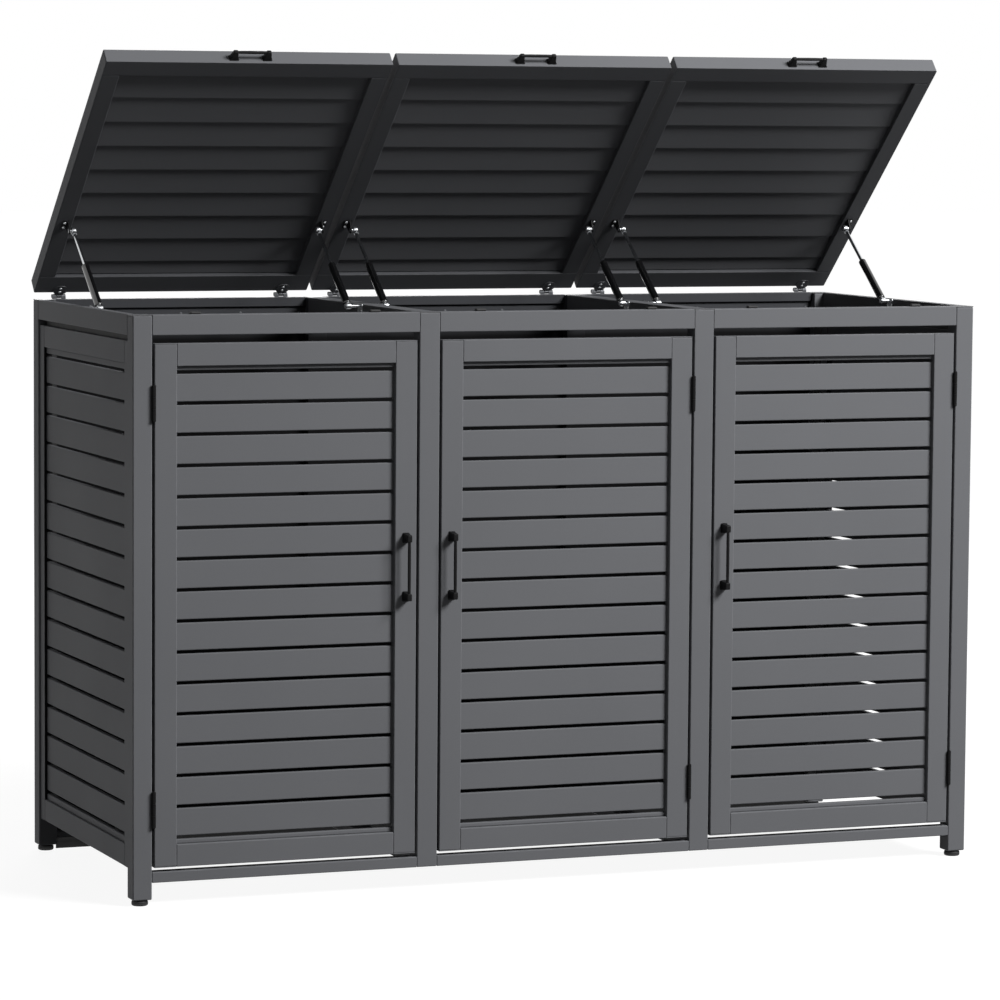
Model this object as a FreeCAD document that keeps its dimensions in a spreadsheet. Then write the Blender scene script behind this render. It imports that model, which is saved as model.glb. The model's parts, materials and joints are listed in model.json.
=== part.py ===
import FreeCAD, Part
import Sketcher
import os
import re

# Sizes in millimetres, with counts and one angle in degrees
sizes = {
    # Carcass
    "overallWidth": 2050,
    "overallDepth": 815,
    "overallHeight": 1304,
    "tubeWall": 1.5,
    "tubeChamfer": 1.2,
    "postSize": 44,
    "midPostWidth": 48,
    "midPostDepth": 44,
    "plugThickness": 2,
    "barSides": 16,
    "hingeSides": 12,
    "pullSides": 8,
    "topRailHeight": 45,
    "topRailDepth": 30,
    "rearRailHeight": 22,
    "sillBottom": 51.5,
    "rearSillBottom": 20,
    "sillHeight": 24,
    "sillDepth": 30,
    "dividerHeight": 45,
    "sideRailHeight": 46,
    "sideRailDepth": 20,
    # Levelling feet
    "footPadRadius": 18.5,
    "footPadHeight": 8,
    "footEdge": 3,
    "footNeckHeight": 3,
    "footNeckRadius": 14,
    "footInsertHeight": 14,
    # Side panels and the slats that fill them
    "sidePanelTopGap": 13,
    "sidePanelBottom": 79,
    "sidePanelInset": 4,
    "sidePanelDepth": 20,
    "sideStile": 36,
    "sidePanelRail": 50,
    "sideStrip": 14.5,
    "sideSlatSet": 6,
    "slatCount": 15,
    "slatGap": 8,
    "slatDepth": 10,
    "slatSheet": 1.2,
    # Back panels
    "backPanelGap": 0.5,
    "backPanelSet": 6,
    "backPanelFlange": 16,
    # Doors
    "doorGap": 5.5,
    "doorTopGap": 18,
    "doorBottomGap": 9,
    "doorDepth": 25,
    "doorStile": 51,
    "doorRail": 50,
    "doorStrip": 9.75,
    "doorSlatSet": 10,
    "doorHandleLength": 152,
    "doorHandleRise": 28,
    "doorHandleHeight": 733,
    "handleBarRadius": 3.2,
    "handleBarSet": 4.5,
    "handleWidth": 14,
    "handleFootLength": 20,
    "handleFootTaper": 2,
    "catchWidth": 14,
    "catchDepth": 12,
    "catchHeight": 40,
    "catchPlate": 1.5,
    "catchClearance": 0.2,
    # Butt hinges of the doors
    "doorHingeHeight": 80,
    "doorHingeInset": 90,
    "barrelRadius": 4.2,
    "barrelProud": 0.5,
    "hingePinRadius": 2,
    "pinClearance": 0.03,
    "leafThickness": 2,
    "leafWidth": 20,
    "leafClearance": 0.3,
    # Lids
    "lidOpenAngle": 41.5,
    "lidGap": 12,
    "lidClear": 6,
    "lidThickness": 37,
    "lidSheet": 1.2,
    "lidSideRail": 40,
    "lidFrontRail": 45,
    "lidRearRail": 55,
    "lidHingeSet": 6,
    "lidRearSet": 14,
    "plankCount": 8,
    "plankGap": 2,
    "plankRecess": 14,
    "plankSlope": 6,
    "rearPlankWidth": 43,
    "lidHandleLength": 98,
    "lidHandleRise": 24,
    "lidHandleDrop": 4,
    "lidHingeWidth": 33,
    "lidHingeInset": 46,
    "lidBarrelRadius": 5,
    "lidLeafLength": 32,
    "lidLeafDrop": 20,
    "bufferLength": 24,
    "bufferWidth": 14,
    "bufferHeight": 5.8,
    "bufferInset": 90,
    # Gas struts
    "strutInset": 40,
    "strutBaseReach": 425,
    "strutBaseDrop": 10,
    "strutLidReach": 262,
    "strutLidDrop": 20,
    "strutEyeRadius": 8,
    "strutEyeWidth": 12,
    "strutTubeRadius": 9,
    "strutTubeStart": 7,
    "strutTubeWall": 5,
    "strutRodRadius": 4,
    "strutRodClearance": 4,
    "strutEndClearance": 14,
    "studPinRadius": 4,
    "studPlateThickness": 2,
    "studPlateLength": 30,
    "studPlateHeight": 22,
    "studPlateLift": 6,
    "studSideClearance": 0.3,
    "rodStudLength": 3,
    "rodStudRadius": 5,
    "bracketThickness": 3,
    "bracketLength": 26,
    "bracketFlange": 15,
    "bracketTail": 8,
}

doc = FreeCAD.newDocument("garden_storage_cabinet")
sheet = doc.addObject("Spreadsheet::Sheet", "sizes")
for row, (name, number) in enumerate(sizes.items(), start=1):
    sheet.set("A%d" % row, name)
    sheet.set("B%d" % row, str(number))
    sheet.setAlias("B%d" % row, name)
doc.recompute()

derived = doc.addObject("App::FeaturePython", "derived")
derivedNames = []
nodes = []


def ex(text):
    # An expression in plain names, with each name tied to its cell or derived value
    def tie(match):
        word = match.group(0)
        if word in sizes:
            return "sizes." + word
        if word in derivedNames:
            return "derived." + word
        return word
    return re.sub(r"[A-Za-z]\w*", tie, text)


def derive(name, text):
    derived.addProperty("App::PropertyFloat", name)
    derived.setExpression(name, ex(text))
    derivedNames.append(name)


def value(text):
    return float(derived.evalExpression(ex(text)))


# Main planes and widths that follow from the sizes
derive("leftFace", "-overallWidth / 2")
derive("rightFace", "overallWidth / 2")
derive("lidRearReach", "lidThickness * sin(lidOpenAngle) - lidRearSet * cos(lidOpenAngle)")
derive("rearReach", "lidHingeSet + max(lidBarrelRadius; lidRearReach)")
derive("frontFace", "(doorHandleRise - overallDepth - rearReach) / 2")
derive("rearFace", "frontFace + overallDepth")
derive("postBottom", "footEdge + footPadHeight + footNeckHeight")
derive("postLength", "overallHeight - postBottom - plugThickness")
derive("midPostLength", "overallHeight - sillBottom - plugThickness")
derive("rearMidLength", "overallHeight - rearSillBottom - plugThickness")
derive("doorWidth", "(overallWidth - 2 * postSize - 2 * midPostWidth - 6 * doorGap) / 3")
derive("bayWidth", "doorWidth + 2 * doorGap")
derive("bayOneX", "leftFace + postSize")
derive("midPostOneX", "bayOneX + bayWidth")
derive("bayTwoX", "midPostOneX + midPostWidth")
derive("midPostTwoX", "bayTwoX + bayWidth")
derive("bayThreeX", "midPostTwoX + midPostWidth")
derive("sidePanelTop", "overallHeight - sideRailHeight - sidePanelTopGap")
derive("sidePanelHeight", "sidePanelTop - sidePanelBottom")
derive("sidePanelLength", "overallDepth - 2 * postSize")
derive("sideSlatLength", "sidePanelLength - 2 * sideStile")
derive("sideFieldHeight", "sidePanelHeight - 2 * sidePanelRail - 2 * sideStrip")
derive("sideSlatPitch", "(sideFieldHeight - slatGap) / slatCount")
derive("sideSlatHeight", "sideSlatPitch - slatGap")
derive("doorBottom", "sillBottom + sillHeight + doorBottomGap")
derive("doorTop", "overallHeight - topRailHeight - doorTopGap")
derive("doorHeight", "doorTop - doorBottom")
derive("doorSlatLength", "doorWidth - 2 * doorStile")
derive("doorFieldHeight", "doorHeight - 2 * doorRail - 2 * doorStrip")
derive("doorSlatPitch", "(doorFieldHeight - slatGap) / slatCount")
derive("doorSlatHeight", "doorSlatPitch - slatGap")
derive("barrelSet", "barrelRadius + barrelProud")
derive("knuckle", "doorHingeHeight / 3")
derive("hingeBore", "(hingePinRadius + pinClearance) / cos(180 / hingeSides)")
derive("eyeBore", "(studPinRadius + pinClearance) / cos(180 / barSides)")
derive("rodBore", "(strutRodRadius + pinClearance) / cos(180 / barSides)")
derive("backPanelBottom", "rearSillBottom + sillHeight")
derive("backPanelHeight", "overallHeight - rearRailHeight - backPanelGap - backPanelBottom")
derive("lidWidth", "(overallWidth - 2 * lidGap) / 3")
derive("lidReach", "overallDepth + lidHingeSet")
derive("lidLength", "lidReach - lidRearSet")
derive("lidFrameHeight", "lidThickness - lidSheet")
derive("hingeY", "rearFace + lidHingeSet")
derive("hingeZ", "overallHeight + lidClear")
derive("plankStart", "lidRearSet + lidSheet + lidRearRail + plankGap")
derive("plankEnd", "lidReach - lidSheet - lidFrontRail")
derive("plankPitch", "(plankEnd - plankStart - rearPlankWidth - plankGap) / plankCount")
derive("plankLength", "lidWidth - 2 * lidSheet - 2 * lidSideRail")
derive("lidKnuckle", "lidHingeWidth / 3")
derive("lidBaseTop", "lidBarrelRadius + leafClearance")
derive("lidLeafStart", "lidHingeSet + 2 * leafClearance")
derive("strutBackOpen",
       "strutBaseReach - strutLidReach * cos(lidOpenAngle) - strutLidDrop * sin(lidOpenAngle)")
derive("strutRiseOpen",
       "strutLidReach * sin(lidOpenAngle) - strutLidDrop * cos(lidOpenAngle) + strutBaseDrop")
derive("strutOpen", "sqrt(strutBackOpen ^ 2 + strutRiseOpen ^ 2)")
derive("strutAngle", "atan2(strutRiseOpen; strutBackOpen)")
derive("strutBackClosed", "strutBaseReach - strutLidReach")
derive("strutRiseClosed", "strutBaseDrop - strutLidDrop")
derive("strutClosed", "sqrt(strutBackClosed ^ 2 + strutRiseClosed ^ 2)")
derive("strutStroke", "strutOpen - strutClosed")
derive("eyeSide", "strutEyeWidth / 2 + studSideClearance")
derive("cheekSide", "strutEyeWidth / 2 + rodStudLength + studSideClearance")
derive("strutTubeLength", "strutClosed - strutTubeStart - strutEndClearance")
derive("strutRodStart", "strutTubeStart + strutTubeWall + strutRodClearance + strutStroke")
doc.recompute()


def bind(thing, prop, text):
    thing.setExpression(prop, ex(text))


def place(thing, x="0", y="0", z="0", axis=None, angle="0"):
    turn = "0; 0; 1" if axis is None else axis
    text = "placement(vector(%s; %s; %s); rotation(vector(%s); %s))" % (x, y, z, turn, angle)
    bind(thing, "Placement", text)
    return thing


def copy(source, x="0", y="0", z="0", axis=None, angle="0"):
    link = doc.addObject("App::Link", source.Name + "_copy")
    link.LinkedObject = source
    return place(link, x, y, z, axis, angle)


def group(label, members, x=None, y="0", z="0", axis=None, angle="0", export=True):
    thing = doc.addObject("Part::Compound", label)
    thing.Label = label
    thing.Links = members
    if x is not None:
        place(thing, x, y, z, axis, angle)
    if export:
        nodes.append(thing)
    return thing


def plane(body, role):
    return [feature for feature in body.Origin.OriginFeatures if feature.Role == role][0]


def outline(sketch, points):
    # A closed outline of straight edges, each corner held by its two distances
    count = len(points)
    places = [FreeCAD.Vector(value(x), value(y), 0) for x, y in points]
    first = sketch.GeometryCount
    for index in range(count):
        sketch.addGeometry(Part.LineSegment(places[index], places[(index + 1) % count]))
    for index in range(count):
        follower = first + (index + 1) % count
        sketch.addConstraint(Sketcher.Constraint("Coincident", first + index, 2, follower, 1))
    for index, (x, y) in enumerate(points):
        for kind, text in (("DistanceX", x), ("DistanceY", y)):
            number = sketch.addConstraint(
                Sketcher.Constraint(kind, -1, 1, first + index, 1, value(text)))
            sketch.setExpression("Constraints[%d]" % number, ex(text))


def profile(name, axis, outlines, length):
    # A profile carried along one axis from the origin
    body = doc.addObject("PartDesign::Body", name)
    role = {"X": "YZ_Plane", "Y": "XZ_Plane", "Z": "XY_Plane"}[axis]
    sketch = body.newObject("Sketcher::SketchObject", name + "_outline")
    sketch.AttachmentSupport = [(plane(body, role), "")]
    sketch.MapMode = "FlatFace"
    for points in outlines:
        outline(sketch, points)
    pad = body.newObject("PartDesign::Pad", name + "_pad")
    pad.Profile = sketch
    pad.Reversed = axis == "Y"
    bind(pad, "Length", length)
    return body


def rectangle(wide, high, inset="0"):
    left = inset
    right = "%s - %s" % (wide, inset)
    top = "%s - %s" % (high, inset)
    return [(left, left), (right, left), (right, top), (left, top)]


def tube(name, axis, wide, high, length):
    # A square tube with its long outer edges chamfered
    body = profile(name, axis, [rectangle(wide, high), rectangle(wide, high, "tubeWall")], length)
    doc.recompute()
    pad = body.Tip
    across = [FreeCAD.Vector(1, 0, 0), FreeCAD.Vector(0, 1, 0), FreeCAD.Vector(0, 0, 1)]
    along = across.pop("XYZ".index(axis))
    edges = []
    for number, edge in enumerate(pad.Shape.Edges, start=1):
        middle = edge.CenterOfMass
        straight = abs(edge.Length - value(length)) < 0.001
        straight = straight and abs(edge.tangentAt(edge.FirstParameter).dot(along)) > 0.999
        low = [abs(middle.dot(side)) < 0.001 for side in across]
        highSide = [abs(middle.dot(side) - value(text)) < 0.001
                     for side, text in zip(across, (wide, high))]
        if straight and all(a or b for a, b in zip(low, highSide)):
            edges.append("Edge%d" % number)
    chamfer = body.newObject("PartDesign::Chamfer", name + "_chamfer")
    chamfer.Base = (pad, edges)
    bind(chamfer, "Size", "tubeChamfer")
    body.Tip = chamfer
    return body


def block(name, wide, deep, high, x="0", y="0", z="0"):
    thing = doc.addObject("Part::Box", name)
    bind(thing, "Length", wide)
    bind(thing, "Width", deep)
    bind(thing, "Height", high)
    return place(thing, x, y, z)


def rod(name, radius, length, axis="Z", x="0", y="0", z="0", sides="barSides"):
    # A bar of many flats, which stands for a round one, from a point along one positive axis
    thing = doc.addObject("Part::Prism", name)
    thing.Polygon = int(value(sides))
    bind(thing, "Circumradius", radius)
    bind(thing, "Height", length)
    turns = {"X": ("0; 1; 0", "90"), "Y": ("1; 0; 0", "-90"), "Z": ("0; 0; 1", "0")}
    return place(thing, x, y, z, *turns[axis])


def fuse(name, members):
    thing = doc.addObject("Part::MultiFuse", name)
    thing.Shapes = members
    thing.Refine = True
    return thing


def cut(name, base, tool):
    thing = doc.addObject("Part::Cut", name)
    thing.Base = base
    thing.Tool = tool
    thing.Refine = True
    return thing


# Posts: four at the corners on feet, two pairs between the bays on the sills
post = tube("post", "Z", "postSize", "postSize", "postLength")
rightPostX = "rightFace - postSize"
rearPostY = "rearFace - postSize"
cornerSpots = [("leftFace", "frontFace"), (rightPostX, "frontFace"),
               ("leftFace", rearPostY), (rightPostX, rearPostY)]
group("corner_posts", [copy(post, x, y, "postBottom") for x, y in cornerSpots])

midPost = tube("mid_post", "Z", "midPostWidth", "midPostDepth", "midPostLength")
rearMidY = "rearFace - midPostDepth"
midSpots = [("midPostOneX", "frontFace"), ("midPostTwoX", "frontFace"),
            ("midPostOneX", rearMidY), ("midPostTwoX", rearMidY)]
rearMidPost = tube("rear_mid_post", "Z", "midPostWidth", "midPostDepth", "rearMidLength")
midPosts = [copy(midPost, x, y, "sillBottom") for x, y in midSpots[:2]]
midPosts += [copy(rearMidPost, x, y, "rearSillBottom") for x, y in midSpots[2:]]
group("mid_posts", midPosts)

# Plugs close the post tops, and inserts in the corner posts carry the feet
cornerCap = block("corner_cap", "postSize", "postSize", "plugThickness")
midCap = block("mid_cap", "midPostWidth", "midPostDepth", "plugThickness")
insertWidth = "postSize - 2 * tubeWall"
insert = block("insert", insertWidth, insertWidth, "footInsertHeight")
capHeight = "overallHeight - plugThickness"
plugs = [copy(cornerCap, x, y, capHeight) for x, y in cornerSpots]
plugs += [copy(midCap, x, y, capHeight) for x, y in midSpots]
plugs += [copy(insert, x + " + tubeWall", y + " + tubeWall", "postBottom") for x, y in cornerSpots]
group("post_plugs", plugs)

# A foot is turned about its middle: a pad with a softened edge and a neck up to the post
footOutline = [("0", "0"), ("footPadRadius - footEdge", "0"), ("footPadRadius", "footEdge"),
               ("footPadRadius", "footEdge + footPadHeight"), ("footNeckRadius", "postBottom"),
               ("0", "postBottom")]
foot = doc.addObject("PartDesign::Body", "foot")
footSketch = foot.newObject("Sketcher::SketchObject", "foot_outline")
footSketch.AttachmentSupport = [(plane(foot, "XZ_Plane"), "")]
footSketch.MapMode = "FlatFace"
outline(footSketch, footOutline)
footTurn = foot.newObject("PartDesign::Revolution", "foot_turn")
footTurn.Profile = footSketch
footTurn.ReferenceAxis = (footSketch, ["V_Axis"])
footTurn.Angle = 360
group("levelling_feet", [copy(foot, x + " + postSize / 2", y + " + postSize / 2")
                         for x, y in cornerSpots])

# Rails between the posts, one length for every bay
bays = ["bayOneX", "bayTwoX", "bayThreeX"]
topRail = tube("top_rail", "X", "topRailDepth", "topRailHeight", "bayWidth")
group("front_top_rails", [copy(topRail, x, "frontFace", "overallHeight - topRailHeight") for x in bays])
sill = tube("sill", "X", "sillDepth", "sillHeight", "bayWidth")
group("front_sills", [copy(sill, x, "frontFace", "sillBottom") for x in bays])
group("rear_sills", [copy(sill, x, "rearFace - sillDepth", "rearSillBottom") for x in bays])
rearRail = tube("rear_rail", "X", "topRailDepth", "rearRailHeight", "bayWidth")
group("rear_top_rails", [copy(rearRail, x, "rearFace - topRailDepth",
                              "overallHeight - rearRailHeight") for x in bays])
sideRail = tube("side_rail", "Y", "sideRailDepth", "sideRailHeight", "sidePanelLength")
sideStartY = "frontFace + postSize"
sideRailZ = "overallHeight - sideRailHeight"
group("side_top_rails", [copy(sideRail, "leftFace", sideStartY, sideRailZ),
                         copy(sideRail, "rightFace - sideRailDepth", sideStartY, sideRailZ)])
dividerLength = "overallDepth - 2 * midPostDepth"
divider = tube("divider", "Y", "midPostWidth", "dividerHeight", dividerLength)
dividerZ = "overallHeight - dividerHeight"
dividerY = "frontFace + midPostDepth"
group("divider_beams", [copy(divider, x, dividerY, dividerZ) for x in ("midPostOneX", "midPostTwoX")])
tie = tube("tie", "Y", "midPostWidth", "sillHeight", dividerLength)
group("divider_ties", [copy(tie, x, dividerY, "sillBottom") for x in ("midPostOneX", "midPostTwoX")])

# Side panels: a tube frame, and slats folded from sheet with their edges turned inwards
panelX = "leftFace + sidePanelInset"
stile = tube("side_stile", "Z", "sidePanelDepth", "sideStile", "sidePanelHeight - 2 * plugThickness")
stilePlug = block("side_stile_plug", "sidePanelDepth", "sideStile", "plugThickness")
panelRail = tube("side_panel_rail", "Y", "sidePanelDepth", "sidePanelRail", "sideSlatLength")
rearStileY = "rearFace - postSize - sideStile"
slatStartY = "frontFace + postSize + sideStile"
sideFrame = []
for stileY in (sideStartY, rearStileY):
    sideFrame.append(copy(stile, panelX, stileY, "sidePanelBottom + plugThickness"))
    sideFrame.append(copy(stilePlug, panelX, stileY, "sidePanelBottom"))
    sideFrame.append(copy(stilePlug, panelX, stileY, "sidePanelTop - plugThickness"))
sideFrame.append(copy(panelRail, panelX, slatStartY, "sidePanelBottom"))
sideFrame.append(copy(panelRail, panelX, slatStartY, "sidePanelTop - sidePanelRail"))


def folded(high):
    # A sheet face with its two long edges folded back
    return [("0", "0"), ("slatDepth", "0"), ("slatDepth", "slatSheet"), ("slatSheet", "slatSheet"),
            ("slatSheet", high + " - slatSheet"), ("slatDepth", high + " - slatSheet"),
            ("slatDepth", high), ("0", high)]


sideSlat = profile("side_slat", "Y", [folded("sideSlatHeight")], "sideSlatLength")
sideEdge = profile("side_edge", "Y", [folded("sideStrip")], "sideSlatLength")
slatX = panelX + " + sideSlatSet"
sideFieldBottom = "sidePanelBottom + sidePanelRail"
sideFill = [copy(sideEdge, slatX, slatStartY, sideFieldBottom),
            copy(sideEdge, slatX, slatStartY, "sidePanelTop - sidePanelRail - sideStrip")]
for index in range(int(value("slatCount"))):
    slatZ = "%s + sideStrip + slatGap + %d * sideSlatPitch" % (sideFieldBottom, index)
    sideFill.append(copy(sideSlat, slatX, slatStartY, slatZ))
leftFrame = group("left_frame", sideFrame, export=False)
leftFill = group("left_fill", sideFill, export=False)
halfTurnY = "frontFace + rearFace"
group("side_frames", [leftFrame, copy(leftFrame, "0", halfTurnY, "0", "0; 0; 1", "180")])
group("side_slats", [leftFill, copy(leftFill, "0", halfTurnY, "0", "0; 0; 1", "180")])

# Back panels: a closed sheet in each bay with its four edges folded to the rear
backBlock = block("back_block", "bayWidth", "backPanelFlange", "backPanelHeight")
backHollow = block("back_hollow", "bayWidth - 2 * slatSheet", "backPanelFlange",
                   "backPanelHeight - 2 * slatSheet", "slatSheet", "slatSheet", "slatSheet")
backPanel = cut("back_panel", backBlock, backHollow)
backY = "rearFace - backPanelSet - backPanelFlange"
group("back_panels", [copy(backPanel, x, backY, "backPanelBottom") for x in bays])

# Door frame: stiles run the full height, rails butt between them, plugs close the stile ends
doorStile = tube("door_stile", "Z", "doorStile", "doorDepth", "doorHeight - 2 * plugThickness")
doorStilePlug = block("door_stile_plug", "doorStile", "doorDepth", "plugThickness")
doorRail = tube("door_rail", "X", "doorDepth", "doorRail", "doorSlatLength")
doorFrameParts = []
for stileX in ("0", "doorWidth - doorStile"):
    doorFrameParts.append(copy(doorStile, stileX, "0", "plugThickness"))
    doorFrameParts.append(copy(doorStilePlug, stileX, "0", "0"))
    doorFrameParts.append(copy(doorStilePlug, stileX, "0", "doorHeight - plugThickness"))
doorFrameParts.append(copy(doorRail, "doorStile", "0", "0"))
doorFrameParts.append(copy(doorRail, "doorStile", "0", "doorHeight - doorRail"))
doorFrame = group("door_frame", doorFrameParts, export=False)
doorSlat = profile("door_slat", "X", [folded("doorSlatHeight")], "doorSlatLength")
doorEdge = profile("door_edge", "X", [folded("doorStrip")], "doorSlatLength")
doorFillParts = [copy(doorEdge, "doorStile", "doorSlatSet", "doorRail"),
                 copy(doorEdge, "doorStile", "doorSlatSet", "doorHeight - doorRail - doorStrip")]
for index in range(int(value("slatCount"))):
    slatZ = "doorRail + doorStrip + slatGap + %d * doorSlatPitch" % index
    doorFillParts.append(copy(doorSlat, "doorStile", "doorSlatSet", slatZ))
doorFill = group("door_fill", doorFillParts, export=False)


def pull(name, length, rise):
    # A pull along Z on a face at Y 0: two feet that taper outwards and a bar between their ends
    barY = "handleBarSet - %s" % rise
    footPoints = [("0", "0"), ("-(%s)" % rise, "handleFootTaper"),
                  ("-(%s)" % rise, "handleFootLength - handleFootTaper"), ("0", "handleFootLength")]
    foot = profile(name + "_foot", "X", [footPoints], "handleWidth")
    place(foot, "-handleWidth / 2", "0", "-%s / 2" % length)
    otherFoot = copy(foot, "-handleWidth / 2", "0", "%s / 2 - handleFootLength" % length)
    bar = rod(name + "_bar", "handleBarRadius", "%s - 2 * handleFootTaper" % length, "Z", "0", barY,
              "-%s / 2 + handleFootTaper" % length, "pullSides")
    return fuse(name, [foot, otherFoot, bar])


doorPull = pull("door_pull", "doorHandleLength", "doorHandleRise")
lidPull = pull("lid_pull", "lidHandleLength", "lidHandleRise")

# Door hinge, about its pin: the post half carries two knuckles and the pin, the door half one
halfGap = "doorGap / 2"
leafStart = "barrelSet"
upperStart = "doorHingeHeight - knuckle + leafClearance"
lowerLength = "knuckle - leafClearance"
postLeaf = fuse("post_leaf", [
    block("post_plate", "leafThickness", "leafWidth", "doorHingeHeight", "-" + halfGap, leafStart),
    block("post_tab_low", "leafThickness", leafStart, lowerLength, "-" + halfGap),
    block("post_tab_high", "leafThickness", leafStart, lowerLength, "-" + halfGap, "0", upperStart),
    rod("post_knuckle_low", "barrelRadius", lowerLength, sides="hingeSides"),
    rod("post_knuckle_high", "barrelRadius", lowerLength, "Z", "0", "0", upperStart, "hingeSides"),
    rod("post_pin", "hingePinRadius", "doorHingeHeight", sides="hingeSides")])
doorLeafX = halfGap + " - leafThickness"
doorLeafSolid = fuse("door_leaf_solid", [
    block("door_plate", "leafThickness", "leafWidth", "doorHingeHeight", doorLeafX, leafStart),
    block("door_tab", "leafThickness", leafStart, "knuckle", doorLeafX, "0", "knuckle"),
    rod("door_knuckle", "barrelRadius", "knuckle", "Z", "0", "0", "knuckle", "hingeSides")])
doorLeaf = cut("door_leaf", doorLeafSolid,
               rod("door_knuckle_bore", "hingeBore", "doorHingeHeight", sides="hingeSides"))
lowHingeZ = "doorBottom + doorHingeInset"
highHingeZ = "doorTop - doorHingeInset - doorHingeHeight"
hingeAxisY = "frontFace - barrelSet"
leftHingeX = "bayOneX + doorGap / 2"
rightHingeXs = ["bayTwoX + bayWidth - doorGap / 2", "bayThreeX + bayWidth - doorGap / 2"]
postLeaves = [copy(postLeaf, leftHingeX, hingeAxisY, z) for z in (lowHingeZ, highHingeZ)]
for axisX in rightHingeXs:
    for z in (lowHingeZ, highHingeZ):
        postLeaves.append(copy(postLeaf, axisX, hingeAxisY, z + " + doorHingeHeight", "0; 1; 0", "180"))
group("door_hinge_bases", postLeaves)

# Doors, with the pull on the free stile and a strike plate behind it
catchZ = "doorHandleHeight - catchHeight / 2"
strike = block("strike", "catchWidth", "catchPlate", "catchHeight")
catchBlock = block("catch_block", "catchWidth", "catchDepth", "catchHeight")
catches = []
doors = [("door_1", "bayOneX", leftHingeX, False),
         ("door_2", "bayTwoX", rightHingeXs[0], True),
         ("door_3", "bayThreeX", rightHingeXs[1], True)]
for label, bayX, axisX, hungRight in doors:
    doorX = bayX + " + doorGap"
    group(label + "_frame", [doorFrame], doorX, "frontFace", "doorBottom")
    group(label + "_slats", [doorFill], doorX, "frontFace", "doorBottom")
    freeStile = "doorStile / 2" if hungRight else "doorWidth - doorStile / 2"
    group(label + "_handle", [doorPull], doorX + " + " + freeStile, "frontFace", "doorHandleHeight")
    leaves = []
    for z in (lowHingeZ, highHingeZ):
        if hungRight:
            leaves.append(copy(doorLeaf, axisX, hingeAxisY, z + " + doorHingeHeight", "0; 1; 0", "180"))
        else:
            leaves.append(copy(doorLeaf, axisX, hingeAxisY, z))
    catchX = bayX if hungRight else bayX + " + bayWidth - catchWidth"
    strikeX = doorX if hungRight else doorX + " + doorWidth - catchWidth"
    leaves.append(copy(strike, strikeX, "frontFace + doorDepth", catchZ))
    group(label + "_hardware", leaves)
    catches.append(copy(catchBlock, catchX,
                        "frontFace + doorDepth + catchPlate + catchClearance", catchZ))
group("door_catches", catches)

# Lid, closed, in its own frame: hinge axis along X at the origin, front edge towards -Y
lidSpots = ["leftFace", "-lidWidth / 2", "rightFace - lidWidth"]
skinBlock = block("skin_block", "lidWidth", "lidLength", "lidThickness", "0", "-lidReach")
skinHollow = block("skin_hollow", "lidWidth - 2 * lidSheet", "lidLength - 2 * lidSheet", "lidFrameHeight",
                   "lidSheet", "-lidReach + lidSheet")
lidSkin = cut("lid_skin", skinBlock, skinHollow)
crossLength = "lidWidth - 2 * lidSheet"
frontRail = tube("lid_front_rail", "X", "lidFrontRail", "lidFrameHeight", crossLength)
lidRearRailTube = tube("lid_rear_rail", "X", "lidRearRail", "lidFrameHeight", crossLength)
sideLength = "lidLength - 2 * lidSheet - lidFrontRail - lidRearRail"
lidSideTube = tube("lid_side_rail", "Y", "lidSideRail", "lidFrameHeight", sideLength)
lidSideY = "-lidReach + lidSheet + lidFrontRail"
lidFrame = group("lid_frame", [
    copy(frontRail, "lidSheet", "-lidReach + lidSheet"),
    copy(lidRearRailTube, "lidSheet", "-lidRearSet - lidSheet - lidRearRail"),
    copy(lidSideTube, "lidSheet", lidSideY),
    copy(lidSideTube, "lidWidth - lidSheet - lidSideRail", lidSideY)], export=False)


def trough(wide):
    # A lapped plank folded from sheet: its face slopes up to the rear and its edges turn up to the skin
    high = "lidFrameHeight - plankRecess"
    return [("0", "0"), (wide, "plankSlope"), (wide, high), (wide + " - slatSheet", high),
            (wide + " - slatSheet", "plankSlope + slatSheet"), ("slatSheet", "slatSheet"),
            ("slatSheet", high), ("0", high)]


plank = profile("plank", "X", [trough("plankPitch - plankGap")], "plankLength")
rearPlank = profile("rear_plank", "X", [trough("rearPlankWidth")], "plankLength")
plankX = "lidSheet + lidSideRail"
planks = [copy(rearPlank, plankX, "-plankStart - rearPlankWidth", "plankRecess")]
for index in range(int(value("plankCount"))):
    plankY = "-plankEnd + plankGap + %d * plankPitch" % index
    planks.append(copy(plank, plankX, plankY, "plankRecess"))
lidPlanks = group("lid_planks", planks, export=False)

# Lid hinge: the base stands on the rear face of the cabinet, the lid half lies under the lid
lidLow = "lidKnuckle - leafClearance"
lidHighX = "lidHingeWidth - lidKnuckle + leafClearance"
lidBase = fuse("lid_base", [
    block("lid_base_plate", "lidHingeWidth", "leafThickness", "lidLeafDrop", "0", "-lidHingeSet",
          "-lidLeafDrop - lidBaseTop"),
    block("lid_base_tab_low", lidLow, "leafThickness", "lidBaseTop", "0", "-lidHingeSet", "-lidBaseTop"),
    block("lid_base_tab_high", lidLow, "leafThickness", "lidBaseTop", lidHighX, "-lidHingeSet",
          "-lidBaseTop"),
    rod("lid_base_knuckle_low", "lidBarrelRadius", lidLow, "X", sides="hingeSides"),
    rod("lid_base_knuckle_high", "lidBarrelRadius", lidLow, "X", lidHighX, sides="hingeSides"),
    rod("lid_base_pin", "hingePinRadius", "lidHingeWidth", "X", sides="hingeSides")])
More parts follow.
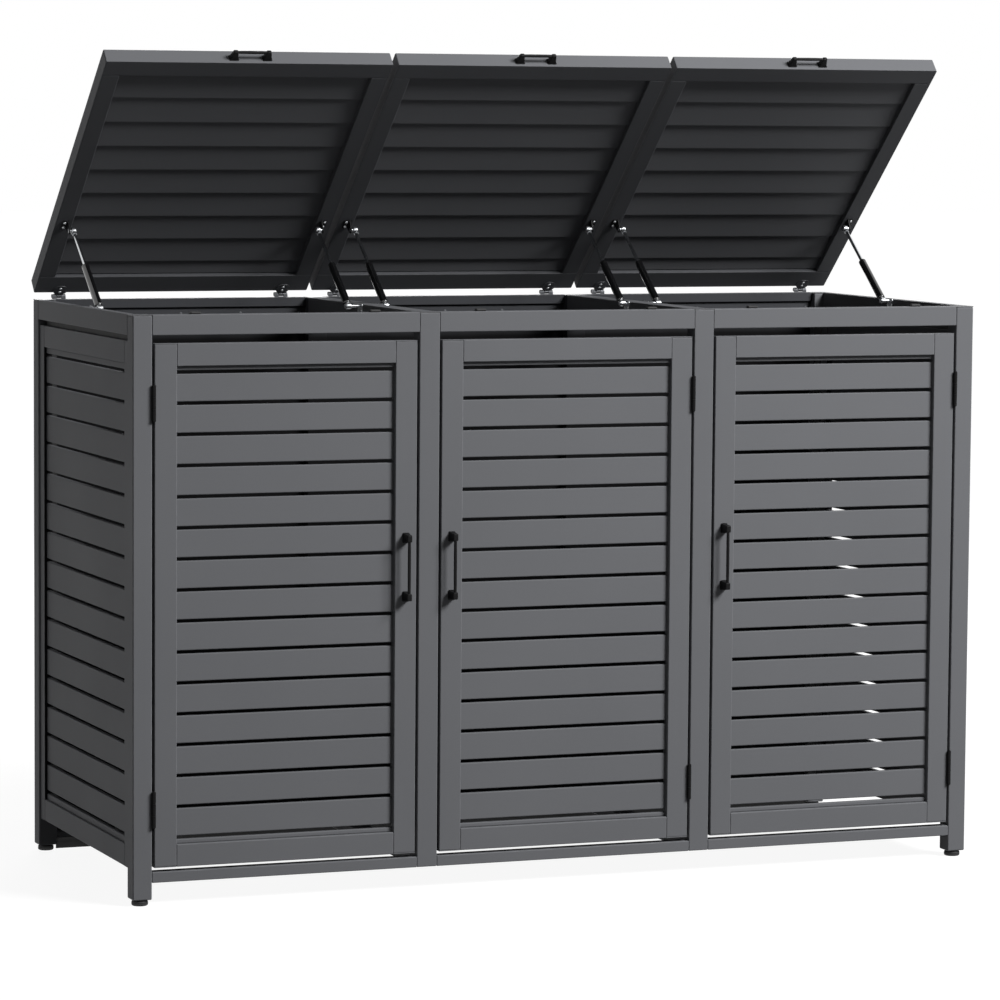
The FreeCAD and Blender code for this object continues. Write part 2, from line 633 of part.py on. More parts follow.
lidLeafSolid = fuse("lid_leaf_solid", [
    block("lid_plate", "lidHingeWidth", "lidLeafLength", "leafThickness", "0",
          "-lidLeafLength - lidLeafStart", "-leafThickness"),
    block("lid_tab", "lidKnuckle", "lidLeafStart", "leafThickness", "lidKnuckle", "-lidLeafStart",
          "-leafThickness"),
    rod("lid_knuckle_round", "lidBarrelRadius", "lidKnuckle", "X", "lidKnuckle", sides="hingeSides")])
lidLeaf = cut("lid_leaf", lidLeafSolid,
              rod("lid_knuckle_bore", "hingeBore", "lidHingeWidth", "X", sides="hingeSides"))
lidHingeSpots = ["lidHingeInset", "lidWidth - lidHingeInset - lidHingeWidth"]
bases = [copy(lidBase, lidX + " + " + hingeX, "hingeY", "hingeZ")
         for lidX in lidSpots for hingeX in lidHingeSpots]
group("lid_hinge_bases", bases)

# Buffers that the closed lids rest on, along the front rails
buffer = block("buffer", "bufferLength", "bufferWidth", "bufferHeight")
bufferY = "frontFace + topRailDepth / 2 - bufferWidth / 2"
bufferSpots = []
for bayX in bays:
    bufferSpots.append(copy(buffer, bayX + " + bufferInset", bufferY, "overallHeight"))
    farX = bayX + " + bayWidth - bufferInset - bufferLength"
    bufferSpots.append(copy(buffer, farX, bufferY, "overallHeight"))
group("lid_buffers", bufferSpots)

# Gas strut along +Y from its lower eye: the tube is bored for the rod
cylinderSolid = fuse("cylinder_solid", [
    rod("cylinder_eye", "strutEyeRadius", "strutEyeWidth", "X", "-strutEyeWidth / 2"),
    rod("cylinder_tube", "strutTubeRadius", "strutTubeLength", "Y", "0", "strutTubeStart")])
cylinderBores = fuse("cylinder_bores", [
    rod("cylinder_eye_bore", "eyeBore", "strutEyeWidth", "X", "-strutEyeWidth / 2"),
    rod("cylinder_bore", "rodBore", "strutTubeLength - strutTubeWall", "Y", "0",
        "strutTubeStart + strutTubeWall")])
cylinder = cut("cylinder", cylinderSolid, cylinderBores)


def strutRod(name, studX):
    # The rod with its upper eye and the stud that faces the lid's bracket
    return fuse(name, [
        rod(name + "_bar", "strutRodRadius", "strutOpen - strutRodStart", "Y", "0", "strutRodStart"),
        rod(name + "_eye", "strutEyeRadius", "strutEyeWidth", "X", "-strutEyeWidth / 2", "strutOpen"),
        rod(name + "_stud", "rodStudRadius", "rodStudLength", "X", studX, "strutOpen")])


rodLeft = strutRod("rod_left", "-strutEyeWidth / 2 - rodStudLength")
rodRight = strutRod("rod_right", "strutEyeWidth / 2")


def stud(name, reach, towardsLeft):
    # A stud on the face beside a strut: a plate and the pin that carries the eye, strut plane at X 0
    pinLength = "%s + eyeSide" % reach
    plateX = "-(%s)" % reach if towardsLeft else "%s - studPlateThickness" % reach
    pinX = "-(%s)" % reach if towardsLeft else "-eyeSide"
    return fuse(name, [
        block(name + "_plate", "studPlateThickness", "studPlateLength", "studPlateHeight", plateX,
              "-studPlateLength / 2", "studPlateLift - studPlateHeight"),
        rod(name + "_pin", "studPinRadius", pinLength, "X", pinX)])


def bracket(name, towardsLeft):
    # The lid's bracket: a cheek beside the rod's stud and a flange under the lid frame
    cheekX = "-cheekSide - bracketThickness" if towardsLeft else "cheekSide"
    flangeX = "-cheekSide - bracketFlange" if towardsLeft else "cheekSide"
    return fuse(name, [
        block(name + "_cheek", "bracketThickness", "bracketLength", "strutLidDrop + bracketTail", cheekX,
              "-strutLidReach - bracketLength / 2", "-strutLidDrop - bracketTail"),
        block(name + "_flange", "bracketFlange", "bracketLength", "bracketThickness", flangeX,
              "-strutLidReach - bracketLength / 2", "-bracketThickness")])


bracketLeft = bracket("bracket_left", True)
bracketRight = bracket("bracket_right", False)
strutY = "hingeY - strutBaseReach"
strutZ = "hingeZ - strutBaseDrop"
faces = [("leftFace + sideRailDepth", "midPostOneX"),
         ("midPostOneX + midPostWidth", "midPostTwoX"),
         ("midPostTwoX + midPostWidth", "rightFace - sideRailDepth")]
studs = []
turned = ("1; 0; 0", "-lidOpenAngle")
for number, (lidX, (leftWall, rightWall)) in enumerate(zip(lidSpots, faces), start=1):
    label = "lid_%d" % number
    group(label + "_skin", [lidSkin], lidX, "hingeY", "hingeZ", *turned)
    group(label + "_frame", [lidFrame], lidX, "hingeY", "hingeZ", *turned)
    group(label + "_planks", [lidPlanks], lidX, "hingeY", "hingeZ", *turned)
    handleZ = "lidThickness / 2 - lidHandleDrop"
    handle = copy(lidPull, "lidWidth / 2", "-lidReach", handleZ, "0; 1; 0", "90")
    group(label + "_handle", [handle], lidX, "hingeY", "hingeZ", *turned)
    hardware = [copy(lidLeaf, hingeX) for hingeX in lidHingeSpots]
    hardware.append(copy(bracketLeft, "strutInset"))
    hardware.append(copy(bracketRight, "lidWidth - strutInset"))
    group(label + "_hardware", hardware, lidX, "hingeY", "hingeZ", *turned)
    leftX = lidX + " + strutInset"
    rightX = lidX + " + lidWidth - strutInset"
    sides = [("left", leftX, rodLeft, "%s - (%s)" % (leftX, leftWall), True),
             ("right", rightX, rodRight, "%s - (%s)" % (rightWall, rightX), False)]
    for side, strutX, strutBar, reach, towardsLeft in sides:
        name = "strut_%d_%s" % (number, side)
        group(name + "_cylinder", [cylinder], strutX, strutY, strutZ, "1; 0; 0", "strutAngle")
        group(name + "_rod", [strutBar], strutX, strutY, strutZ, "1; 0; 0", "strutAngle")
        studs.append(copy(stud(name + "_stud", reach, towardsLeft), strutX, strutY, strutZ))
group("strut_studs", studs)

doc.recompute()
for thing in doc.Objects:
    if "Invalid" in thing.State or "Error" in thing.State:
        raise RuntimeError("%s failed to build" % thing.Name)
for node in nodes:
    if node.Shape.isNull() or not node.Shape.isValid():
        raise RuntimeError("%s has no valid shape" % node.Label)
    if not node.Shape.Solids:
        raise RuntimeError("%s has no solid" % node.Label)

os.makedirs("parts", exist_ok=True)
for node in nodes:
    node.Shape.exportStep("parts/%s.step" % node.Label)
print("%d nodes, %d solids" % (len(nodes), sum(len(node.Shape.Solids) for node in nodes)))
print("strut open %.3f closed %.3f angle %.4f" % (derived.strutOpen, derived.strutClosed, derived.strutAngle))
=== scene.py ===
import json
import math
import bmesh
import bpy
from mathutils import Matrix, Vector


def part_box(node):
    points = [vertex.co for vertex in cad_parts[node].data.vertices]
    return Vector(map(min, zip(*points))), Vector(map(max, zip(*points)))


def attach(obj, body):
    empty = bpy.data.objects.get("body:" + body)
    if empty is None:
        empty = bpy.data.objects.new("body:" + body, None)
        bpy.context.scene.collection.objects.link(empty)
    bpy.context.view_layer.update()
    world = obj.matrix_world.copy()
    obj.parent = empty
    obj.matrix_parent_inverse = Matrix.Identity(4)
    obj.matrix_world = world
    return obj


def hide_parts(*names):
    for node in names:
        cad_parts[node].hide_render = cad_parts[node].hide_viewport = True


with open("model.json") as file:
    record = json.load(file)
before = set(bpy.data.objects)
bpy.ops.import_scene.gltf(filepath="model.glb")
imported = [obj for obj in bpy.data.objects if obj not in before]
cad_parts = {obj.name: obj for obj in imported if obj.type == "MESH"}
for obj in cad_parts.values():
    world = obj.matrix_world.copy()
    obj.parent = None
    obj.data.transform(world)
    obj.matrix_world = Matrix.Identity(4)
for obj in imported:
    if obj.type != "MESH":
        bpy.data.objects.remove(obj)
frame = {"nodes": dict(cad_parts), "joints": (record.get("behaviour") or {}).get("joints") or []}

scene = bpy.context.scene
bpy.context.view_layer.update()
mm = 0.001


def pick(sockets, key):
    # identifiers first, because some nodes show one name several times
    for socket in sockets:
        if socket.identifier == key:
            return socket
    return [socket for socket in sockets if socket.name == key and socket.enabled][0]


def wireUp(tree, socket, item):
    if isinstance(item, Wire):
        tree.links.new(item.socket, socket)
    else:
        socket.default_value = item


class Wire:
    # a socket that takes part in sums
    def __init__(self, tree, socket):
        self.tree = tree
        self.socket = socket

    def sum(self, operation, first, second):
        node = self.tree.nodes.new("ShaderNodeMath")
        node.operation = operation
        wireUp(self.tree, node.inputs[0], first)
        wireUp(self.tree, node.inputs[1], second)
        return Wire(self.tree, node.outputs[0])

    def __add__(self, other):
        return self.sum("ADD", self, other)

    def __radd__(self, other):
        return self.sum("ADD", other, self)

    def __sub__(self, other):
        return self.sum("SUBTRACT", self, other)

    def __rsub__(self, other):
        return self.sum("SUBTRACT", other, self)

    def __mul__(self, other):
        return self.sum("MULTIPLY", self, other)

    def __rmul__(self, other):
        return self.sum("MULTIPLY", other, self)

    def __gt__(self, other):
        return self.sum("GREATER_THAN", self, other)

    def least(self, other):
        return self.sum("MINIMUM", self, other)

    def most(self, other):
        return self.sum("MAXIMUM", self, other)

    def clamped(self):
        return self.most(0.0).least(1.0)


class Nodes:
    # a tree, and the one way of adding a node to it
    def __init__(self, tree):
        self.tree = tree

    def node(self, kind, settings=None, sockets=None, output=0):
        made = self.tree.nodes.new(kind)
        for key, item in (settings or {}).items():
            setattr(made, key, item)
        for key, item in (sockets or {}).items():
            wireUp(self.tree, pick(made.inputs, key), item)
        if not made.outputs:
            return None
        return Wire(self.tree, made.outputs[output] if isinstance(output, int) else pick(made.outputs, output))

    def vector(self, **parts):
        return self.node("ShaderNodeCombineXYZ", sockets={key.upper(): item for key, item in parts.items()})

    def axis(self, vector, letter):
        return self.node("ShaderNodeSeparateXYZ", sockets={"Vector": vector}, output=letter)

    def seenRays(self):
        # 1 for the rays that show the floor and the backdrop as plain white
        camera, glossy, passing = (self.node("ShaderNodeLightPath", output="Is %s Ray" % kind)
                                   for kind in ("Camera", "Glossy", "Transmission"))
        return camera.most(glossy).most(passing)


def tint(text):
    # a written colour as the linear values that a socket holds
    parts = [int(text[i:i + 2], 16) / 255 for i in (0, 2, 4)]
    return tuple(p / 12.92 if p <= 0.04045 else ((p + 0.055) / 1.055) ** 2.4 for p in parts) + (1.0,)


class Finish(Nodes):
    # one material, on Object coordinates
    def __init__(self, name):
        self.material = bpy.data.materials.new(name)
        self.material.use_nodes = True
        super().__init__(self.material.node_tree)
        self.tree.nodes.clear()
        self.spot = self.node("ShaderNodeTexCoord", output="Object")

    def stretched(self, scale):
        return self.node("ShaderNodeMapping", sockets={"Vector": self.spot, "Scale": scale})

    def noise(self, scale, detail=2.0, roughness=0.5, where=None):
        return self.node("ShaderNodeTexNoise", sockets={
            "Vector": where or self.spot, "Scale": scale, "Detail": detail, "Roughness": roughness})

    def mix(self, factor, first, second):
        return self.node("ShaderNodeMix", {"data_type": "RGBA"}, {
            "Factor_Float": factor, "A_Color": first, "B_Color": second}, "Result_Color")

    def bump(self, height, strength, distance):
        return self.node("ShaderNodeBump", sockets={
            "Height": height, "Strength": strength, "Distance": distance})

    # rounded edges, where wear and a painted highlight lighten the colour
    def worn(self):
        return self.node("ShaderNodeAttribute", {"attribute_name": "worn"}, output="Fac")

    def tones(self, look, share):
        return self.mix(share, tint(look["tone"]), tint(look["shade"]))

    def gloss(self, look, field, spread):
        # roughness that wanders about its set value
        return look["roughness"] + (field - 0.5) * spread

    def close(self, **values):
        names = {"colour": "Base Color", "roughness": "Roughness", "metallic": "Metallic", "normal": "Normal",
                 "coat": "Coat Weight", "specular": "Specular IOR Level"}
        shader = self.node("ShaderNodeBsdfPrincipled", sockets={names[k]: v for k, v in values.items()})
        self.node("ShaderNodeOutputMaterial", sockets={"Surface": shader})
        return self.material


# finishes

grainDepth = 0.3 * mm
fineDepth = 0.2 * mm
# edge is the lighter tone on rounded edges: wear broken into chips, and partly a painted highlight
powderCoat = dict(tone="68696c", shade="616265", edge="7e7f83", roughness=0.56, sheen=0.08, cloudSize=2.2,
                  speckSize=1600.0, peelSize=700.0, peel=0.16, chipSize=45.0, chipStart=0.42, chipGain=3.0,
                  rubAndHighlight=0.6)
# darker copies of the powder coat for the lids' planks and frame tubes: painted shade on the lids' undersides
plankShadeCoat = dict(powderCoat, tone="616265", shade="5a5b5e")
frameShadeCoat = dict(powderCoat, tone="515255", shade="4b4c4f", edge="66676a")


def makePowder(name, look):
    coat = Finish(name)
    cloud = coat.noise(look["cloudSize"], 3.0, 0.6)
    speck = coat.noise(look["speckSize"], 1.0)
    peel = coat.noise(look["peelSize"], 2.0, 0.55)
    chip = coat.noise(look["chipSize"], 4.0, 0.7)
    # lighter rounded edges: partly wear, partly a painted highlight
    rubAndHighlight = coat.worn() * ((chip - look["chipStart"]) * look["chipGain"]).clamped() * look["rubAndHighlight"]
    colour = coat.mix(rubAndHighlight, coat.tones(look, cloud), tint(look["edge"]))
    gloss = coat.gloss(look, cloud, 0.1) + (speck - 0.5) * 0.08 - rubAndHighlight * 0.1
    return coat.close(colour=colour, roughness=gloss, specular=look["sheen"],
                      normal=coat.bump(peel + speck * 0.4, look["peel"], grainDepth))


# rubbed is the lighter tone on rounded edges: partly wear, partly a painted highlight
blackCoat = dict(tone="0e0e0f", shade="151516", rubbedAndHighlit="333436", roughness=0.42, sheen=0.09, cloudSize=18.0,
                 peelSize=900.0, peel=0.14, rubAndHighlightSize=60.0, rubAndHighlight=0.35)


def makeBlack(name, look):
    coat = Finish(name)
    cloud = coat.noise(look["cloudSize"], 3.0)
    peel = coat.noise(look["peelSize"], 2.0)
    rubAndHighlight = coat.worn() * coat.noise(look["rubAndHighlightSize"], 4.0, 0.7) * look["rubAndHighlight"]
    colour = coat.mix(rubAndHighlight, coat.tones(look, cloud), tint(look["rubbedAndHighlit"]))
    return coat.close(colour=colour, roughness=coat.gloss(look, cloud, 0.14), specular=look["sheen"],
                      normal=coat.bump(peel, look["peel"], grainDepth))


# painted shade for the cabinet's inside: black, and dark grey in a strip just under the rear rail
paintedShadeCoat = dict(tone="0c0c0d", shade="121213", shadedGrey="404144", top=1.205, fade=0.035, roughness=0.8, sheen=0.05,
                 cloudSize=9.0, grainSize=500.0, grain=0.12)


def makePaintedShade(name, look):
    # painted shade: black inside, and a dark grey strip under the rear rail
    coat = Finish(name)
    cloud = coat.noise(look["cloudSize"], 3.0)
    grain = coat.noise(look["grainSize"], 2.0)
    height = coat.axis(coat.spot, "Z")
    shadedGreyMask = ((height - look["top"]) * (1.0 / look["fade"]) + (cloud - 0.5) * 0.3).clamped()
    colour = coat.mix(shadedGreyMask, coat.tones(look, cloud), tint(look["shadedGrey"]))
    return coat.close(colour=colour, roughness=coat.gloss(look, cloud, 0.12), specular=look["sheen"],
                      normal=coat.bump(grain, look["grain"], grainDepth))


glossBlack = dict(tone="060607", shade="0c0c0d", roughness=0.13, cloudSize=30.0, smearSize=140.0, smearStart=0.4)


def makeGloss(name, look):
    coat = Finish(name)
    cloud = coat.noise(look["cloudSize"], 2.0)
    smear = coat.noise(look["smearSize"], 4.0, 0.65)
    gloss = look["roughness"] + (smear - look["smearStart"]).most(0.0) * 0.18
    return coat.close(colour=coat.tones(look, cloud), roughness=gloss, coat=0.6 + cloud * 0.3,
                      normal=coat.bump(cloud, 0.05, grainDepth))


zincPlate = dict(tone="b9bbbd", shade="8f9194", roughness=0.3, spangle=420.0, hazeSize=90.0, fineSize=2400.0)
dullPlate = dict(zincPlate, tone="5e5f62", shade="47484a", roughness=0.46)


def makeZinc(name, look):
    coat = Finish(name)
    flake = coat.node("ShaderNodeTexVoronoi", sockets={"Vector": coat.spot, "Scale": look["spangle"]})
    haze = coat.noise(look["hazeSize"], 3.0)
    fine = coat.noise(look["fineSize"], 1.0)
    return coat.close(colour=coat.tones(look, flake * 0.5 + haze * 0.5), roughness=coat.gloss(look, haze, 0.25),
                      metallic=0.92, normal=coat.bump(fine, 0.1, fineDepth))


chromeBar = dict(tone="d4d6d8", shade="a9acaf", roughness=0.12, drawnSize=900.0, drawn=(1.0, 0.08, 0.08),
                 hazeSize=40.0)


def makeChrome(name, look):
    coat = Finish(name)
    drawn = coat.noise(look["drawnSize"], 3.0, 0.6, coat.stretched(look["drawn"]))
    haze = coat.noise(look["hazeSize"], 2.0)
    return coat.close(colour=coat.tones(look, haze * 0.6), roughness=coat.gloss(look, drawn, 0.12), metallic=1.0,
                      normal=coat.bump(drawn, 0.04, fineDepth))


mouldedPlastic = dict(tone="191a1b", shade="232425", roughness=0.5, grain=1300.0, cloudSize=55.0)
greyPlastic = dict(mouldedPlastic, tone="4d4e51", shade="545558", roughness=0.52)
softRubber = dict(mouldedPlastic, tone="0d0d0e", shade="161617", roughness=0.72, grain=1800.0)


def makeMoulded(name, look):
    coat = Finish(name)
    leather = coat.node("ShaderNodeTexVoronoi", {"feature": "SMOOTH_F1"}, {
        "Vector": coat.spot, "Scale": look["grain"], "Smoothness": 0.6})
    cloud = coat.noise(look["cloudSize"], 3.0)
    return coat.close(colour=coat.tones(look, cloud), roughness=coat.gloss(look, cloud, 0.16),
                      normal=coat.bump(leather, 0.18, grainDepth))


greyPaint = makePowder("greyPowderCoat", powderCoat)
# the lids' planks and frame tubes take painted shade in their darker coats
plankPaintedShade = makePowder("lidPlankCoat", plankShadeCoat)
framePaintedShade = makePowder("lidFrameCoat", frameShadeCoat)
blackPaint = makeBlack("satinBlackPaint", blackCoat)
# the black inside finish is painted shade
paintedShadeBlack = makePaintedShade("mattInnerBlack", paintedShadeCoat)
strutPaint = makeGloss("strutGlossBlack", glossBlack)
zincSteel = makeZinc("zincPlatedSteel", zincPlate)
dullZinc = makeZinc("dullZincHinge", dullPlate)
rodSteel = makeChrome("chromedRod", chromeBar)
blackPlastic = makeMoulded("blackPlastic", mouldedPlastic)
plugPlastic = makeMoulded("greyPlugPlastic", greyPlastic)
footRubber = makeMoulded("footRubber", softRubber)
print("finishes:", len(bpy.data.materials), "materials")


# mesh tools

def bake(piece):
    # the evaluated shape as a plain mesh, with no modifier left
    graph = bpy.context.evaluated_depsgraph_get()
    mesh = bpy.data.meshes.new_from_object(
        piece.evaluated_get(graph), preserve_all_data_layers=True, depsgraph=graph)
    piece.modifiers.clear()
    return mesh


def addGauge(work, sheet):
    # thickness behind a folded face
    gauge = work.modifiers.new("gauge", "SOLIDIFY")
    gauge.thickness = sheet
    gauge.offset = -1.0


class Shell:
    # gathers the points and faces of one piece
    def __init__(self):
        self.points = []
        self.faces = []
        self.paints = []
        self.worn = []

    def take(self, bm, matrix=None, paint=0, worn=None):
        start = len(self.points)
        bm.verts.index_update()
        for vert in bm.verts:
            self.points.append(matrix @ vert.co if matrix else vert.co.copy())
            self.worn.append(worn(vert.co) if worn else 0.0)
        for face in bm.faces:
            self.faces.append([start + vert.index for vert in face.verts])
            self.paints.append(paint)
        bm.free()

    def takeMesh(self, mesh, matrix=None, paint=0):
        bm = bmesh.new()
        bm.from_mesh(mesh)
        self.take(bm, matrix, paint)
        bpy.data.meshes.remove(mesh)

    def repaint(self, facing, paint, fromY, turn):
        # another finish on the faces that look one way, from a place along Y backwards
        for k, face in enumerate(self.faces):
            a, b, c = (self.points[i] for i in face[:3])
            if (b - a).cross(c - b).normalized().dot(facing) > turn and a.y > fromY - 1 * mm:
                self.paints[k] = paint

    def bar(self, low, high, radius, matrix=None, paint=0, steps=3):
        # a straight length with its edges rounded
        bm = bmesh.new()
        bmesh.ops.create_cube(bm, size=1.0)
        for vert in bm.verts:
            vert.co = Vector([low[i] if vert.co[i] < 0 else high[i] for i in range(3)])
        soft = min(radius, 0.45 * min(high[i] - low[i] for i in range(3)))
        bmesh.ops.bevel(bm, geom=bm.edges[:], offset=soft, segments=steps, profile=0.5, affect="EDGES")

        def rounded(point):
            inner = [min(point[i] - low[i], high[i] - point[i]) / soft for i in range(3)]
            return 1.0 if any(0.02 < share < 0.98 for share in inner) else 0.0
        self.take(bm, matrix, paint, rounded)

    def turned(self, outline, matrix=None, paint=0, steps=32):
        # pairs of radius and height turned about Z; a ring ends where it starts
        bm = bmesh.new()
        rings = []
        for radius, height in outline:
            count = steps if radius > 0 else 1
            angles = [2 * math.pi * k / steps for k in range(count)]
            rings.append([bm.verts.new((radius * math.cos(a), radius * math.sin(a), height)) for a in angles])
        if outline[0] == outline[-1] and outline[0][0] > 0:
            for vert in rings[-1]:
                bm.verts.remove(vert)
            rings[-1] = rings[0]
        for lower, upper in zip(rings, rings[1:]):
            for k in range(steps):
                n = (k + 1) % steps
                corners = []
                for vert in (lower[k % len(lower)], lower[n % len(lower)],
                             upper[n % len(upper)], upper[k % len(upper)]):
                    if vert not in corners:
                        corners.append(vert)
                if len(corners) > 2:
                    bm.faces.new(corners)
        bmesh.ops.recalc_face_normals(bm, faces=bm.faces[:])
        self.take(bm, matrix, paint)

    def plate(self, outline, thick, radius, matrix=None, paint=0):
        # a flat outline given thickness along Z, with both rims eased
        bm = bmesh.new()
        face = bm.faces.new([bm.verts.new((x, y, 0)) for x, y in outline])
        raised = bmesh.ops.extrude_face_region(bm, geom=[face])
        for vert in [v for v in raised["geom"] if isinstance(v, bmesh.types.BMVert)]:
            vert.co.z += thick
        bmesh.ops.recalc_face_normals(bm, faces=bm.faces[:])
        rims = [e for e in bm.edges if abs(e.verts[0].co.z - e.verts[1].co.z) < 1e-9]
        bmesh.ops.bevel(bm, geom=rims, offset=radius, segments=2, profile=0.5, affect="EDGES")
        self.take(bm, matrix, paint)

    def tray(self, size, sheet, radius, matrix=None, paint=0):
        # a folded sheet open at the bottom, with its bends rounded
        bm = bmesh.new()
        bmesh.ops.create_cube(bm, size=1.0)
        for vert in bm.verts:
            vert.co = Vector([size[i] if vert.co[i] > 0 else 0.0 for i in range(3)])
        bm.normal_update()
        bmesh.ops.delete(bm, geom=[f for f in bm.faces if f.normal.z < -0.9], context="FACES_ONLY")
        bends = [e for e in bm.edges if len(e.link_faces) == 2]
        bmesh.ops.bevel(bm, geom=bends, offset=radius, segments=4, profile=0.5, affect="EDGES")
        mesh = bpy.data.meshes.new("sheet")
        bm.to_mesh(mesh)
        bm.free()
        work = bpy.data.objects.new("sheet", mesh)
        scene.collection.objects.link(work)
        addGauge(work, sheet)
        self.takeMesh(bake(work), matrix, paint)
        bpy.data.objects.remove(work)


def roundedOutline(wide, high, radius, steps=5):
    # a rectangle about its middle with round corners
    spots = []
    for cx, cy, first in ((1, 1, 0), (-1, 1, 90), (-1, -1, 180), (1, -1, 270)):
        for k in range(steps + 1):
            a = math.radians(first + 90 * k / steps)
            spots.append((cx * (wide / 2 - radius) + radius * math.cos(a),
                          cy * (high / 2 - radius) + radius * math.sin(a)))
    return spots


def settle(name, shell, finishes, body, nodes=(), crease=38):
    # one finished piece: its mesh, finishes, body and the CAD nodes that it stands for
    mesh = bpy.data.meshes.new(name)
    mesh.from_pydata(shell.points, [], shell.faces)
    mesh.polygons.foreach_set("material_index", shell.paints)
    # the rounded edges' mask, for wear and a painted highlight
    mesh.attributes.new("worn", "FLOAT", "POINT").data.foreach_set("value", shell.worn)
    for finish in finishes:
        mesh.materials.append(finish)
    mesh.shade_smooth()
    mesh.set_sharp_from_angle(angle=math.radians(crease))
    piece = bpy.data.objects.new(name, mesh)
    scene.collection.objects.link(piece)
    even = piece.modifiers.new("evenShade", "WEIGHTED_NORMAL")
    even.keep_sharp = True
    even.weight = 100
    piece.data = bake(piece)
    piece.data.name = name
    bpy.data.meshes.remove(mesh)
    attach(piece, body)
    if nodes:
        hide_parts(*nodes)


def solidBoxes(node, matrix=None):
    # the box of each separate solid in a CAD node, in the frame of the matrix
    mesh = frame["nodes"][node].data
    back = matrix.inverted() if matrix else Matrix()
    boxes = []
    spots = []
    loose = set()
    for face in mesh.polygons:
        corners = [tuple(round(c, 6) for c in mesh.vertices[i].co) for i in face.vertices]
        spots += [back @ Vector(corner) for corner in corners]
        for a, b in zip(corners, corners[1:] + corners[:1]):
            loose ^= {(min(a, b), max(a, b))}
        # a solid is whole once each of its edges has two faces
        if not loose:
            boxes.append((Vector([min(s[i] for s in spots) for i in range(3)]),
                          Vector([max(s[i] for s in spots) for i in range(3)])))
            spots = []
    return sorted(boxes, key=lambda box: tuple(round(c, 4) for c in box[0]))


def dressBars(name, node, finish, body, edge, matrix=None, steps=3):
    # one rounded bar for each solid of a node
    shell = Shell()
    for low, high in solidBoxes(node, matrix):
        shell.bar(low, high, edge, matrix, steps=steps)
    settle(name, shell, [finish], body, [node])


# geometry trees

class Maker(Nodes):
    # a geometry tree with named inputs, run on a work object
    def __init__(self, name, inputs):
        super().__init__(bpy.data.node_groups.new(name, "GeometryNodeTree"))
        face = self.tree.interface
        face.new_socket("Geometry", in_out="INPUT", socket_type="NodeSocketGeometry")
        for label, kind in inputs.items():
            face.new_socket(label, in_out="INPUT", socket_type="NodeSocket" + kind)
        face.new_socket("Geometry", in_out="OUTPUT", socket_type="NodeSocketGeometry")
        self.gate = self.tree.nodes.new("NodeGroupInput")

    def given(self, label):
        return Wire(self.tree, pick(self.gate.outputs, label))

    def close(self, shape):
        real = self.node("GeometryNodeRealizeInstances", sockets={"Geometry": shape})
        painted = self.node("GeometryNodeSetMaterial", sockets={
            "Geometry": real, "Material": self.given("Finish")})
        self.node("NodeGroupOutput", sockets={"Geometry": painted})

    def run(self, values, spots=(), sheet=0.0):
        mesh = bpy.data.meshes.new("work")
        mesh.from_pydata([spot for spot, facing in spots], [], [])
        if spots:
            lined = mesh.attributes.new("facing", "FLOAT_VECTOR", "POINT")
            lined.data.foreach_set("vector", [c for spot, facing in spots for c in facing])
        work = bpy.data.objects.new("work", mesh)
        modifier = work.modifiers.new("maker", "NODES")
        modifier.node_group = self.tree
        for item in self.tree.interface.items_tree:
            if item.in_out == "INPUT" and item.name in values:
                modifier[item.identifier] = values[item.name]
        if sheet:
            addGauge(work, sheet)
        scene.collection.objects.link(work)
        made = bake(work)
        bpy.data.objects.remove(work)
        bpy.data.meshes.remove(mesh)
        return made


def slatTree():
    # folded slats along X, one above another; their lips turn back along +Y
    tree = Maker("foldedSlats", {"Length": "Float", "Height": "Float", "Depth": "Float", "Corner": "Float",
                                 "Tilt": "Float", "Count": "Int", "Pitch": "Float", "Finish": "Material"})
    depth = tree.given("Depth")
    height = tree.given("Height")
    section = tree.node("GeometryNodeCurvePrimitiveQuadrilateral", {"mode": "RECTANGLE"},
                        {"Width": depth * 2.0, "Height": height})
    eased = tree.node("GeometryNodeFilletCurve", {"mode": "POLY"},
                      {"Curve": section, "Count": 4, "Radius": tree.given("Corner")})
    path = tree.node("GeometryNodeCurvePrimitiveLine", {"mode": "POINTS"},
                     {"End": tree.vector(x=tree.given("Length"))})
    tube = tree.node("GeometryNodeCurveToMesh", sockets={"Curve": path, "Profile Curve": eased})
    where = tree.node("GeometryNodeInputPosition")
    moved = tree.vector(x=tree.axis(where, "X"), y=tree.axis(where, "Y").least(0.0) + depth,
                        z=tree.axis(where, "Z") + height * 0.5)
    half = tree.node("GeometryNodeSetPosition", sockets={"Geometry": tube, "Position": moved})
    # the back of the tube goes, so that a fold open behind is left
    behind = tree.axis(tree.node("GeometryNodeInputPosition"), "Y")
    fold = tree.node("GeometryNodeDeleteGeometry", {"domain": "FACE"}, {
        "Geometry": half, "Selection": behind > depth - 0.02 * mm})
    clean = tree.node("GeometryNodeMergeByDistance", sockets={"Geometry": fold, "Distance": 0.01 * mm})
    row = tree.node("GeometryNodeMeshLine", sockets={
        "Count": tree.given("Count"), "Offset": tree.vector(z=tree.given("Pitch"))})
    turn = tree.node("FunctionNodeEulerToRotation", sockets={"Euler": tree.vector(x=tree.given("Tilt"))})
    tree.close(tree.node("GeometryNodeInstanceOnPoints", sockets={
        "Points": row, "Instance": clean, "Rotation": turn}))
    return tree


